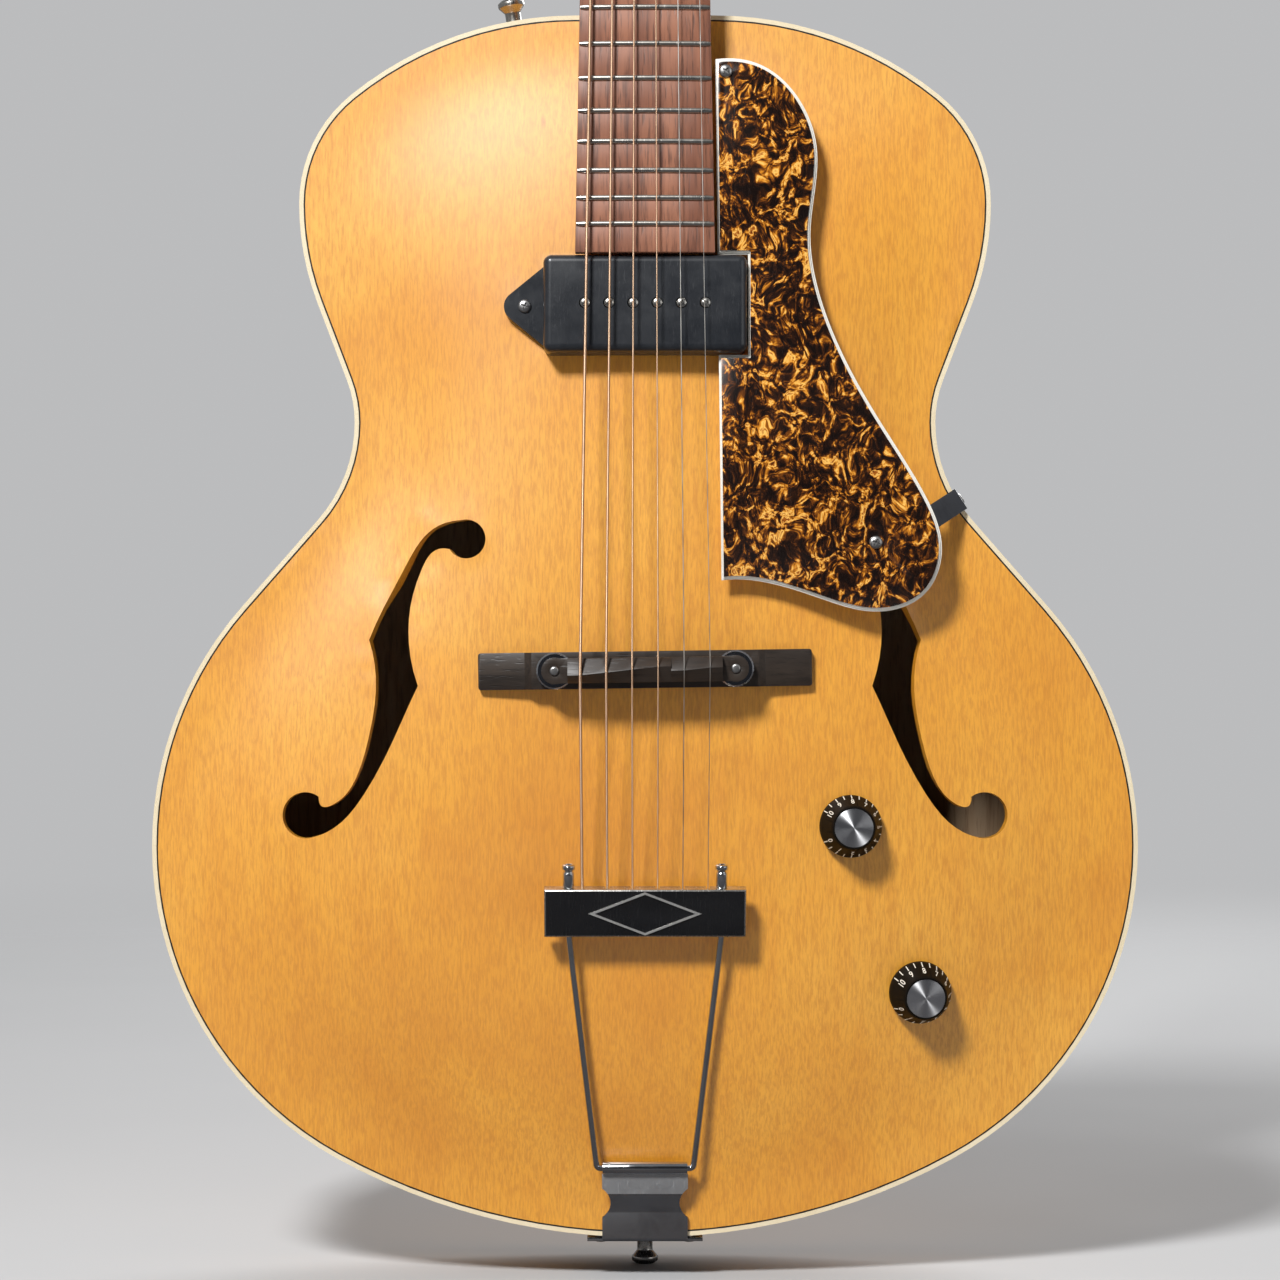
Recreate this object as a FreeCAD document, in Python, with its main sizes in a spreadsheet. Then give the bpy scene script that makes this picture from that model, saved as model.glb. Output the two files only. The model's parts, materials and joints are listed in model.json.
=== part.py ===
import FreeCAD, Part
import math
import os
import re
import Sketcher
from FreeCAD import Placement, Rotation, Vector
from types import SimpleNamespace

# An acoustic-electric archtop guitar with a full hollow body, two f-holes, a floating bridge,
# a hinged trapeze tailpiece, one dog-ear pickup under a floating pickguard, and a set neck.
# Upright: +Z runs up the neck, the front faces -Y and the treble side is +X.  The origin is
# on the tail end of the rim, half way through its depth, where the end pin seats.

# Driving dimensions, in millimetres and degrees
SIZES = {
    # Body outline, seen from the front
    "body_length": 529.4,
    "lower_bout": 427.2,
    "upper_bout": 299.7,
    "waist_inset": 24.05,
    # Rim, plates, edging and inner woodwork
    "rim_depth": 66.0,
    "rim_thickness": 2.6,
    "plate_thickness": 5.0,
    "top_arch": 16.0,
    "back_arch": 15.0,
    "flat_border": 3.0,
    "binding_width": 1.9,
    "purfling_width": 0.6,
    "lining_width": 6.0,
    "lining_depth": 14.0,
    "neck_block_width": 76.0,
    "neck_block_length": 48.0,
    "tail_block_width": 82.0,
    "tail_block_length": 22.0,
    "tone_bar_length": 226.0,
    "tone_bar_width": 6.5,
    "tone_bar_depth": 13.0,
    "tone_bar_spread": 40.0,
    "f_hole_share": 0.2214,
    "f_hole_length": "=body_length * f_hole_share",
    "f_hole_lean": 69.2,
    "f_hole_inset": 77.2,
    "f_hole_drop": 228.0,
    # Clearances
    "overrun": 4.0,
    "glue_gap": 0.05,
    "seat_gap": 0.2,
    "running_gap": 0.06,
    "cover_gap": 0.6,
    # Neck, board and strings
    "scale_length": 631.0,
    "neck_pitch": 3.4,
    "board_lift": 13.1,
    "board_thickness": 6.3,
    "board_radius": 406.0,
    "board_nut_width": 43.7,
    "board_end_width": 59.8,
    "board_overhang": 12.2,
    "fret_width": 2.4,
    "fret_height": 1.1,
    "fret_tang": 1.6,
    "fret_tang_width": 0.6,
    "fret_inset": 0.4,
    "nut_thickness": 5.0,
    "neck_depth": 20.5,
    "heel_start": 72.0,
    "heel_width": 24.0,
    "tenon_width": 21.0,
    "tenon_length": 26.0,
    "extension_width": 40.0,
    "extension_length": 84.0,
    "extension_gap": 2.0,
    "truss_rod_radius": 3.0,
    "truss_rod_length": 330.0,
    "truss_channel_depth": 10.0,
    "string_bass_radius": 0.66,
    "string_nut_spread": 36.7,
    "string_bridge_spread": 55.0,
    "string_tail_spread": 53.5,
    "string_nut_rise": 0.45,
    "string_saddle_rise": 4.7,
    "string_bend": 3.0,
    "string_ball": 1.9,
    "winding_gap": 0.5,
    # Headstock and tuners
    "head_tilt": 13.0,
    "head_length": 168.0,
    "head_thickness": 14.5,
    "head_base_width": 66.0,
    "head_top_width": 78.0,
    "tuner_first": 40.0,
    "tuner_pitch": 42.0,
    "tuner_edge": 11.5,
    "post_radius": 3.0,
    "post_waist": 2.5,
    "post_height": 15.0,
    "bushing_radius": 4.9,
    "bushing_flange": 6.4,
    "bushing_flange_height": 1.6,
    "housing_width": 15.0,
    "housing_length": 23.0,
    "housing_depth": 10.5,
    "housing_round": 2.0,
    "worm_offset": 6.5,
    "key_shaft_radius": 2.2,
    "key_clearance": 2.0,
    "key_shaft_depth": 8.0,
    "key_width": 19.0,
    "key_length": 16.0,
    "key_thickness": 6.5,
    "cover_length": 40.0,
    "cover_width": 22.0,
    "cover_thickness": 2.0,
    # Pickup
    "pickup_drop": 127.4,
    "pickup_length": 87.0,
    "pickup_width": 42.0,
    "pickup_rise": 12.5,
    "pickup_wall": 1.8,
    "pickup_round": 3.5,
    "ear_length": 18.0,
    "ear_tip_radius": 6.5,
    "ear_rise": 1.6,
    "ear_drop": 12.0,
    "pole_spread": 51.5,
    "pole_radius": 2.3,
    "pole_head_height": 1.6,
    "pole_length": 21.0,
    "pole_rise": 1.0,
    "bobbin_height": 8.6,
    "bobbin_flange": 1.4,
    "bobbin_core": 9.0,
    "magnet_height": 3.2,
    "baseplate_thickness": 1.0,
    # Pickguard
    "guard_drop": 21.4,
    "guard_length": 237.2,
    "guard_width": 96.6,
    "guard_inset": 30.2,
    "guard_height": 14.5,
    "guard_pitch": 2.0,
    "guard_face_thickness": 0.9,
    "guard_ply_thickness": 1.6,
    "guard_bevel": 0.75,
    "bracket_width": 10.0,
    "bracket_thickness": 1.5,
    "bracket_reach": 46.0,
    "bracket_drop": 14.0,
    "bracket_angle": 32.0,
    "bracket_bend": 2.5,
    "standoff_radius": 3.2,
    # Bridge
    "bridge_skew": 0.8,
    "bridge_base_length": 143.0,
    "bridge_base_depth": 15.8,
    "bridge_base_rise": 8.0,
    "bridge_pad_length": 97.0,
    "bridge_end_rise": 5.0,
    "bridge_end_round": 1.2,
    "bridge_relief_length": 62.0,
    "bridge_relief_rise": 3.0,
    "bridge_post_spacing": 77.0,
    "bridge_post_radius": 2.0,
    "thumbwheel_radius": 7.9,
    "thumbwheel_thickness": 3.4,
    "thumbwheel_lift": 1.5,
    "knurl_depth": 0.35,
    "saddle_length": 74.0,
    "saddle_depth": 10.6,
    "saddle_lug_radius": 5.6,
    "saddle_lug_rise": 5.0,
    "saddle_shoulder": 4.0,
    # Tailpiece
    "barrel_height": 10.5,
    "barrel_place": 31.5,
    "barrel_length": 36.4,
    "barrel_wall": 1.3,
    "rod_radius": 1.4,
    "rod_spread": 65.2,
    "rod_foot_spread": 41.6,
    "rod_bend": 1.8,
    "rod_sweep": 18.0,
    "bar_place_share": 0.2127,
    "bar_place": "=body_length * bar_place_share",
    "bar_length": 86.0,
    "bar_width": 20.6,
    "bar_depth": 8.0,
    "bar_wall": 2.0,
    "bar_round": 1.0,
    "diamond_length": 48.0,
    "diamond_line": 0.9,
    "diamond_rise": 0.5,
    "rod_nut_radius": 2.8,
    "rod_nut_height": 10.2,
    "hinge_plate_thickness": 1.5,
    "hinge_plate_width": 37.0,
    "hinge_plate_waist": 3.6,
    "hinge_flange_width": 50.0,
    "hinge_flange_depth": 48.0,
    "hinge_screw_spread": 38.4,
    "hinge_screw_depth": 8.0,
    "hinge_plate_bend": 3.0,
    # Controls and output
    "volume_across": 88.0,
    "volume_share": 0.3381,
    "volume_up": "=body_length * volume_share",
    "tone_across": 118.0,
    "tone_share": 0.2031,
    "tone_up": "=body_length * tone_share",
    "knob_radius": 13.4,
    "knob_cap_radius": 8.3,
    "knob_height": 15.5,
    "knob_skirt": 2.6,
    "knob_clearance": 1.2,
    "knob_wall": 2.6,
    "knob_cavity": 6.5,
    "knob_cap_thickness": 0.8,
    "shaft_radius": 3.0,
    "pot_radius": 12.0,
    "pot_depth": 9.0,
    "pot_bushing_radius": 4.7,
    "pot_bushing_rise": 5.0,
    "pot_nut_radius": 6.6,
    "pot_nut_height": 2.2,
    "jack_bore": 3.25,
    "jack_radius": 4.7,
    "jack_flange": 8.2,
    "jack_flange_height": 2.4,
    "jack_case_radius": 8.6,
    "jack_case_length": 18.0,
    "jack_bore_depth": 16.0,
    "jack_angle": 38.0,
    "lead_radius": 1.2,
    # Strap pins and screws
    "pin_head_radius": 5.8,
    "pin_base_radius": 6.2,
    "pin_neck_radius": 3.4,
    "pin_height": 15.6,
    "pin_shank_radius": 2.2,
    "pin_shank_length": 18.0,
    "shoulder_pin_across": 57.0,
    "screw_head_radius": 2.9,
    "screw_head_height": 1.7,
    "screw_radius": 1.3,
    "screw_length": 11.0,
}

# Counts and proportions
fret_count = 21
joint_fret = 14
pole_count = 6
knurl_count = 28
lower_bout_share = 0.3202
waist_share = 0.667
upper_bout_share = 0.8459
tail_radius_share = 0.6497
lower_side_share = 0.2977
lower_straight_share = 0.0944
upper_side_share = 0.2274
upper_straight_share = 0.068
upper_corner_share = 0.1148
shoulder_share = 0.2918
arch_columns = 54
arch_rows = 65
arch_sweeps = 160
arch_fullness = 0.7
over_relaxation = 1.85
winding_turns = 2
semitones = 12

# Document and sheet
doc = FreeCAD.newDocument("archtop_guitar")
sheet = doc.addObject("Spreadsheet::Sheet", "Sizes")
for row, (alias, amount) in enumerate(SIZES.items(), start=1):
    sheet.set(f"A{row}", alias.replace("_", " "))
    sheet.set(f"B{row}", str(amount))
    sheet.setAlias(f"B{row}", alias)
doc.recompute()
size = SimpleNamespace(**{alias: float(sheet.get(alias)) for alias in SIZES})

X, Y, Z = Vector(1, 0, 0), Vector(0, 1, 0), Vector(0, 0, 1)
HERE = Vector(0, 0, 0)
half_turn = math.pi
quarter_turn = math.pi / 2
full_circle = 360
right_angle = 90
nodes = {}


# Small helpers

def bound(formula):
    """The formula with each size name pointed at its cell in the sheet."""
    def cell(found):
        word = found.group()
        return f"Sizes.{word}" if word in SIZES else word
    return re.sub(r"[a-z][a-z_]+", cell, formula)


def keep(label, thing):
    """Names a document object as one sub-part of the guitar."""
    thing.Label = label
    nodes[label] = thing
    return thing


def shaped(label, shape, placement=Placement()):
    """A sub-part whose shape is worked out here from the sheet's sizes."""
    thing = doc.addObject("Part::Feature", label)
    thing.Shape = shape
    thing.Placement = placement
    return keep(label, thing)


def group(shapes):
    return Part.makeCompound(list(shapes))


def placed(shape, placement):
    """A copy of a shape moved to a placement."""
    moved = shape.copy()
    moved.Placement = placement.multiply(moved.Placement)
    return moved


def facing(origin, pitch=0.0):
    """A frame on the front: x across, y up the guitar, z out towards the player's audience."""
    return Placement(origin, Rotation(X, right_angle - pitch))


def along(origin, direction):
    """A frame whose z axis points along a direction."""
    return Placement(origin, Rotation(Z, direction))


def ball(centre, radius):
    return Part.makeSphere(radius, centre)


def rod(start, direction, radius, length):
    return Part.makeCylinder(radius, length, start, direction)


def block(low, high):
    spread = high - low
    return Part.makeBox(spread.x, spread.y, spread.z, low)


def loop(points):
    """A closed wire of straight edges."""
    return Part.makePolygon(list(points) + [points[0]])


def curve(points):
    """A smooth edge through points."""
    spline = Part.BSplineCurve()
    spline.interpolate(list(points))
    return spline.toShape()


def origin_plane(body, role):
    return next(feature for feature in body.Origin.OriginFeatures if feature.Role == role)


def new_sketch(body, plane, level):
    """An empty sketch on one of the body's own planes, or at a level above it."""
    sketch = body.newObject("Sketcher::SketchObject", body.Name + "_sketch")
    sketch.AttachmentSupport = [(origin_plane(body, plane), "")]
    sketch.MapMode = "FlatFace"
    sketch.setExpression("AttachmentOffset.Base.z", bound(level))
    return sketch


def outline_sketch(body, plane, corners, level="0"):
    """A closed outline of straight sides, each corner bound to the sheet."""
    sketch = new_sketch(body, plane, level)
    add_outline(sketch, corners)
    return sketch


def add_outline(sketch, corners):
    first = sketch.GeometryCount
    count = len(corners)
    spots = [Vector(math.cos(2 * half_turn * k / count), math.sin(2 * half_turn * k / count), 0)
             for k in range(count)]
    sketch.addGeometry([Part.LineSegment(spots[k], spots[(k + 1) % count]) for k in range(count)])
    sketch.addConstraint([Sketcher.Constraint("Coincident", first + k, 2, first + (k + 1) % count, 1)
                          for k in range(count)])
    for k, corner in enumerate(corners, start=first):
        for kind, formula in zip(("DistanceX", "DistanceY"), corner):
            index = sketch.addConstraint(Sketcher.Constraint(kind, -1, 1, k, 1, 1.0))
            sketch.setExpression(f"Constraints[{index}]", bound(formula))


def circle_sketch(body, plane, circles, level="0"):
    """Circles given as (across, up, radius) formulas."""
    sketch = new_sketch(body, plane, level)
    for k, (across, up, radius) in enumerate(circles):
        sketch.addGeometry(Part.Circle(HERE, Z, 1.0))
        for kind, formula in zip(("DistanceX", "DistanceY"), (across, up)):
            index = sketch.addConstraint(Sketcher.Constraint(kind, -1, 1, k, 3, 1.0))
            sketch.setExpression(f"Constraints[{index}]", bound(formula))
        index = sketch.addConstraint(Sketcher.Constraint("Radius", k, 1.0))
        sketch.setExpression(f"Constraints[{index}]", bound(radius))
    return sketch


def new_body(label):
    return doc.addObject("PartDesign::Body", label)


def turned(label, profile):
    """A body turned about its own z axis from (radius, height) corners."""
    body = new_body(label)
    sketch = outline_sketch(body, "XZ_Plane", profile)
    turn = body.newObject("PartDesign::Revolution", label + "_turn")
    turn.Profile = sketch
    turn.ReferenceAxis = (sketch, ["V_Axis"])
    turn.Angle = full_circle
    sketch.Visibility = False
    return body


def pad(body, sketch, length, backwards=False, both_ways=False):
    step = body.newObject("PartDesign::Pad", body.Name + "_pad")
    step.Profile = sketch
    step.setExpression("Length", bound(length))
    step.Reversed = backwards
    step.Midplane = both_ways
    return step


def pocket(body, sketch, length, backwards=False, both_ways=False):
    step = body.newObject("PartDesign::Pocket", body.Name + "_pocket")
    step.Profile = sketch
    step.setExpression("Length", bound(length))
    step.Reversed = backwards
    step.Midplane = both_ways
    return step


def rounded(body, radius, chosen):
    """Rounds the edges of the body's last feature that a test picks out."""
    doc.recompute()
    last = body.Tip
    names = [f"Edge{k}" for k, edge in enumerate(last.Shape.Edges, start=1) if chosen(edge)]
    step = body.newObject("PartDesign::Fillet", body.Name + "_round")
    step.Base = (last, names)
    step.setExpression("Radius", bound(radius))
    return step


def rectangle(half_across, half_up):
    """Corner formulas of a rectangle about the sketch's origin."""
    return [(f"-({half_across})", f"-({half_up})"), (half_across, f"-({half_up})"),
            (half_across, half_up), (f"-({half_across})", half_up)]


def bent_path(points, radii):
    """Straight runs between points, joined by tangent arcs at the inner points."""
    edges = []
    start = points[0]
    for before, corner, after, radius in zip(points, points[1:], points[2:], radii):
        into = (corner - before).normalize()
        out = (after - corner).normalize()
        turn = into.getAngle(out)
        setback = radius * math.tan(turn / 2)
        first = corner - into * setback
        last = corner + out * setback
        inward = (out - into).normalize()
        middle = corner + inward * (radius / math.cos(turn / 2) - radius)
        edges.append(Part.LineSegment(start, first).toShape())
        edges.append(Part.Arc(first, middle, last).toShape())
        start = last
    edges.append(Part.LineSegment(start, points[-1]).toShape())
    return edges


def tube(edges, radius):
    """A round solid swept along a path of edges."""
    path = Part.Wire(edges)
    first = edges[0]
    start = first.valueAt(first.FirstParameter)
    way = first.tangentAt(first.FirstParameter)
    sweep = Part.BRepOffsetAPI.MakePipeShell(path)
    sweep.add(Part.Wire(Part.makeCircle(radius, start, way)))
    sweep.build()
    sweep.makeSolid()
    return sweep.shape()


def strip(path, thickness):
    """A flat face that lies along one side of an open path of edges."""
    return Part.Wire(path).makeOffset2D(thickness, 0, True, True)


# Body outline: tangent arcs and straights, worked out for the treble half and mirrored

def at(across, up):
    return Vector(across, 0, up)


lower_half = size.lower_bout / 2
upper_half = size.upper_bout / 2
waist_half = upper_half - size.waist_inset
lower_up = lower_bout_share * size.body_length
waist_up = waist_share * size.body_length
upper_up = upper_bout_share * size.body_length
tail_radius = tail_radius_share * size.lower_bout
lower_side_radius = lower_side_share * size.body_length
lower_straight = lower_straight_share * size.body_length
upper_side_radius = upper_side_share * size.body_length
upper_straight = upper_straight_share * size.body_length
upper_corner_radius = upper_corner_share * size.body_length
shoulder_radius = shoulder_share * size.body_length

# The tail arc meets the lower side arc where their centres line up
corner_radius = ((tail_radius ** 2 - lower_half ** 2 - (tail_radius - lower_up) ** 2)
                 / (2 * (tail_radius - lower_half)))
tail_centre = at(0, tail_radius)
corner_centre = at(lower_half - corner_radius, lower_up)
tail_angle = math.atan2(corner_centre.z - tail_centre.z, corner_centre.x)

# Each waist arc is tangent to a straight that is tangent to the bout beside it


def waist_arc(bout_half, bout_up, bout_radius, straight):
    """Radius of the waist arc, and the angle of the normal along the straight."""
    across = waist_half - bout_half + bout_radius
    up = waist_up - bout_up
    radius = (across ** 2 + up ** 2 - straight ** 2 - bout_radius ** 2) / (2 * (bout_half - waist_half))
    lean = math.atan2(up, across + radius)
    swing = math.atan2(straight, radius + bout_radius)
    return radius, lean - math.copysign(swing, up)


lower_waist_radius, lower_normal = waist_arc(lower_half, lower_up, lower_side_radius,
                                             lower_straight)
upper_waist_radius, upper_normal = waist_arc(upper_half, upper_up, upper_side_radius,
                                             upper_straight)
lower_side_centre = at(lower_half - lower_side_radius, lower_up)
lower_waist_centre = at(waist_half + lower_waist_radius, waist_up)
upper_waist_centre = at(waist_half + upper_waist_radius, waist_up)
upper_side_centre = at(upper_half - upper_side_radius, upper_up)
upper_corner_centre = at(upper_half - upper_corner_radius, upper_up)
shoulder_up = size.body_length - shoulder_radius
shoulder_across = upper_corner_centre.x - math.sqrt(
    (shoulder_radius - upper_corner_radius) ** 2 - (upper_up - shoulder_up) ** 2)
shoulder_centre = at(shoulder_across, shoulder_up)
shoulder_angle = math.atan2(upper_up - shoulder_up, upper_corner_centre.x - shoulder_across)


def arc(centre, radius, start, end):
    """An arc in the body's plane, with angles from +X towards +Z."""
    angles = (start, (start + end) / 2, end)
    points = [centre + at(radius * math.cos(a), radius * math.sin(a)) for a in angles]
    return Part.Arc(*points).toShape()


def half_outline(inset):
    """The treble half of the outline, from the tail up to the neck, moved in by an inset."""
    arcs = [
        arc(tail_centre, tail_radius - inset, -quarter_turn, tail_angle),
        arc(corner_centre, corner_radius - inset, tail_angle, 0),
        arc(lower_side_centre, lower_side_radius - inset, 0, lower_normal),
        arc(lower_waist_centre, lower_waist_radius + inset, lower_normal + half_turn, half_turn),
        arc(upper_waist_centre, upper_waist_radius + inset, half_turn, upper_normal + half_turn),
        arc(upper_side_centre, upper_side_radius - inset, upper_normal, 0),
        arc(upper_corner_centre, upper_corner_radius - inset, 0, shoulder_angle),
        arc(shoulder_centre, shoulder_radius - inset, shoulder_angle, quarter_turn),
    ]
    edges = []
    for this, following in zip(arcs, arcs[1:]):
        edges.append(this)
        gap = following.valueAt(following.FirstParameter) - this.valueAt(this.LastParameter)
        if gap.Length > size.glue_gap:
            ends = (this.valueAt(this.LastParameter), following.valueAt(following.FirstParameter))
            edges.append(Part.LineSegment(*ends).toShape())
    edges.append(arcs[-1])
    last = arcs[-1].valueAt(arcs[-1].LastParameter)
    edges.append(Part.LineSegment(last, at(0, size.body_length - inset)).toShape())
    return edges


def outline_face(inset):
    treble = half_outline(inset)
    bass = [edge.mirror(HERE, X) for edge in reversed(treble)]
    return Part.Face(Part.Wire(treble + bass))


def deep(face, start, depth):
    """A face of the body's plane given a depth towards the back, from a start."""
    return face.translated(Y * start).extrude(Y * depth)


def ring(outer_inset, inner_inset, start, depth):
    """An edging that follows the outline between two insets."""
    return deep(outline_face(outer_inset), start, depth).cut(
        deep(outline_face(inner_inset), start - size.overrun, depth + 2 * size.overrun))


# The front of the body is at the most negative y of its edge, the back at the most positive
front = -(size.rim_depth / 2 + size.plate_thickness)
back = -front
plate_inset = size.binding_width + size.purfling_width + 2 * size.glue_gap


# Arched plates: a membrane blown up over the outline gives the heights of a smooth surface

def spread_knots(low, high, count):
    """Knots of a cubic of so many poles, and the places where poles keep it true to length."""
    spans = count - 3
    knots = [low + (high - low) * k / spans for k in range(spans + 1)]
    padded = [low] * 3 + knots + [high] * 3
    places = [(padded[k + 1] + padded[k + 2] + padded[k + 3]) / 3 for k in range(count)]
    return knots, places


arch_margin = size.overrun * 3
across_knots, across_places = spread_knots(-lower_half - arch_margin, lower_half + arch_margin,
                                           arch_columns)
up_knots, up_places = spread_knots(-arch_margin, size.body_length + arch_margin, arch_rows)
arch_span = across_knots[1] - across_knots[0]


def membrane():
    """Heights from 0 to 1 of a membrane held flat along the border and blown up inside it."""
    held = size.flat_border + 2 * arch_span
    inner = outline_face(held)
    free = [(i, j) for i in range(arch_columns) for j in range(arch_rows)
            if inner.isInside(at(across_places[i], up_places[j]), size.glue_gap, True)]
    level = [[0.0] * arch_rows for _ in range(arch_columns)]
    for _ in range(arch_sweeps):
        for i, j in free:
            beside = level[i - 1][j] + level[i + 1][j] + level[i][j - 1] + level[i][j + 1]
            level[i][j] += over_relaxation * ((beside + 1) / 4 - level[i][j])
    top = max(max(line) for line in level)
    return [[(amount / top) ** arch_fullness for amount in line] for line in level]


blown = membrane()


def arched_surface(plane, rise):
    """The outer face of a plate; rise is negative towards the front."""
    poles = []
    for across, line in zip(across_places, blown):
        poles.append([Vector(across, plane + rise * full ** 2 * (3 - 2 * full), up)
                      for up, full in zip(up_places, line)])
    ends = [4] + [1] * (arch_columns - 4) + [4]
    sides = [4] + [1] * (arch_rows - 4) + [4]
    surface = Part.BSplineSurface()
    surface.buildFromPolesMultsKnots(poles, ends, sides, across_knots, up_knots, False, False, 3, 3)
    return surface


top_surface = arched_surface(front, -size.top_arch)
back_surface = arched_surface(back, size.back_arch)
arch_room = size.top_arch + size.rim_depth


def top_spot(across, up):
    """The point of the top's outer face over a place on the body's plane."""
    return top_surface.value(across, up)


def top_normal(across, up):
    normal = top_surface.normal(across, up)
    return normal if normal.y < 0 else normal * -1


def behind_top(gap):
    """All that lies behind the top's outer face, raised by a gap: what sits on it is cut by it."""
    return top_surface.toShape().translated(Y * -gap).extrude(Y * arch_room)


def before_top(gap):
    """All that lies before the top's inner face, lowered by a gap."""
    return top_surface.toShape().translated(Y * (size.plate_thickness + gap)).extrude(Y * -arch_room)


# Frames that several pieces share

neck_frame = facing(Vector(0, front - size.board_lift, size.body_length), size.neck_pitch)
pitch = math.radians(size.neck_pitch)


def fret_place(number):
    """Place along the neck of a fret, from the body joint; the nut is number 0."""
    return size.scale_length * (2 ** (-number / semitones) - 2 ** (-joint_fret / semitones))


nut_place = fret_place(0)
board_end = fret_place(fret_count) - size.board_overhang
saddle_place = -size.scale_length * 2 ** (-joint_fret / semitones)
board_top = size.board_thickness
head_frame = neck_frame.multiply(Placement(Vector(0, nut_place + size.nut_thickness, 0),
                                           Rotation(X, -size.head_tilt)))
pickup_frame = facing(top_spot(0, size.body_length - size.pickup_drop), size.neck_pitch)
bridge_up = neck_frame.multVec(Vector(0, saddle_place, 0)).z - size.saddle_depth / 4
bridge_frame = facing(Vector(0, front, bridge_up)).multiply(Placement(HERE, Rotation(Z, size.bridge_skew)))


def crowned(across):
    """How far the board's crown has dropped at a distance from the centre line."""
    return size.board_radius - math.sqrt(size.board_radius ** 2 - across ** 2)


def spaced(spread, number, count):
    return spread * (number / (count - 1) - 1 / 2)


# Strings from the bass side: half diameters, and where each crosses the saddle's depth
string_shares = (1, 0.807, 0.615, 0.462, 0.308, 0.23)
string_radii = [size.string_bass_radius * share for share in string_shares]
crest_shares = (-0.18, -0.08, 0.024, 0.128, -0.04, 0.06)
string_count = len(string_radii)
wound_count = 4


def saddle_crossing(number):
    """The middle of a string where it bends over the saddle."""
    across = spaced(size.string_bridge_spread, number, string_count)
    on_bridge = bridge_frame.multVec(Vector(across, crest_shares[number] * size.saddle_depth, 0))
    out = board_top + size.string_saddle_rise - crowned(across)
    up = (on_bridge.z - neck_frame.Base.z - out * math.sin(pitch)) / math.cos(pitch)
    return neck_frame.multVec(Vector(on_bridge.x, up, out))


def nut_crossing(number):
    """The middle of a string where it bends over the nut."""
    across = spaced(size.string_nut_spread, number, string_count)
    out = board_top - crowned(across) + size.fret_height + size.string_nut_rise + string_radii[number]
    return neck_frame.multVec(Vector(across, nut_place + size.nut_thickness / 2, out))


barrel = Vector(0, front - size.barrel_height, size.barrel_place)
middle_crossing = (saddle_crossing(2) + saddle_crossing(3)) / 2
tail_pitch = math.degrees(math.atan2(barrel.y - middle_crossing.y, middle_crossing.z - barrel.z))
tail_frame = facing(barrel, -tail_pitch)


# Screws: one turned pattern, put wherever a piece is screwed on

tip_shares = (0.4, 0.8)
dome_shares = (0.8, 0.7, 0.4)
slot_shares = (0.16, 0.6, 0.4)
screw = turned("screw_pattern", [
    ("0", "-screw_length"), (f"screw_radius * {tip_shares[0]}", "-screw_length"),
    ("screw_radius", f"-screw_length * {tip_shares[1]}"), ("screw_radius", "0"), ("screw_head_radius", "0"),
    (f"screw_head_radius * {dome_shares[0]}", f"screw_head_height * {dome_shares[1]}"),
    (f"screw_head_radius * {dome_shares[2]}", "screw_head_height"), ("0", "screw_head_height")])
slot_half_width = f"screw_head_radius * {slot_shares[0]}"
slot_half_length = f"screw_head_radius * {slot_shares[1]}"
for half_sides in ((slot_half_width, slot_half_length), (slot_half_length, slot_half_width)):
    slot = outline_sketch(screw, "XY_Plane", rectangle(*half_sides), "screw_head_height")
    pocket(screw, slot, f"screw_head_height * {slot_shares[2]}")


def pilot(frame):
    """The hole that a screw needs, from under its head."""
    radius = size.screw_radius + size.glue_gap
    depth = size.screw_length + size.overrun
    return placed(rod(Z * -depth, Z, radius, depth + size.overrun), frame)


ear_screw_share = 1.5
ear_screw_across = size.pickup_length / 2 + size.ear_length - size.ear_tip_radius * ear_screw_share
ear_screws = [pickup_frame.multiply(Placement(Vector(side * ear_screw_across, 0, size.ear_rise), Rotation()))
              for side in (-1, 1)]


# Body woodwork

def f_hole(side):
    """One f-hole's outline as a face: two lobes, two nicks and the long curves between them."""
    highest = size.body_length - size.f_hole_drop

    def spots(shares):
        return [at(side * (size.f_hole_inset + across * size.f_hole_lean),
                   highest - down * size.f_hole_length) for across, down in shares]
    outer_upper_shares = ((0.025, -0.077), (0.251, -0.022), (0.392, 0.11), (0.527, 0.261), (0.603, 0.363))
    outer_lower_shares = ((0.603, 0.363), (0.559, 0.558), (0.597, 0.708), (0.684, 0.874), (0.808, 0.962),
                          (0.889, 0.976), (0.916, 0.939))
    lower_lobe_shares = ((0.916, 0.939), (1.143, 1.0), (0.962, 1.09))
    inner_lower_shares = ((0.962, 1.09), (0.783, 1.038), (0.633, 0.932), (0.454, 0.738), (0.295, 0.532))
    inner_upper_shares = ((0.295, 0.532), (0.354, 0.363), (0.341, 0.231), (0.279, 0.11), (0.198, 0.037),
                          (0.1, 0.03))
    upper_lobe_shares = ((0.1, 0.03), (-0.118, 0.016), (0.025, -0.077))
    edges = [curve(spots(outer_upper_shares)), curve(spots(outer_lower_shares)),
             Part.Arc(*spots(lower_lobe_shares)).toShape(), curve(spots(inner_lower_shares)),
             curve(spots(inner_upper_shares)), Part.Arc(*spots(upper_lobe_shares)).toShape()]
    return Part.Face(Part.Wire(edges))


def through(face):
    """A cutter that takes a face of the body's plane through the whole body."""
    return deep(face, front - arch_room, back - front + 2 * arch_room)


def control_frame(across, up):
    return along(top_spot(across, up), top_normal(across, up))


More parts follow.
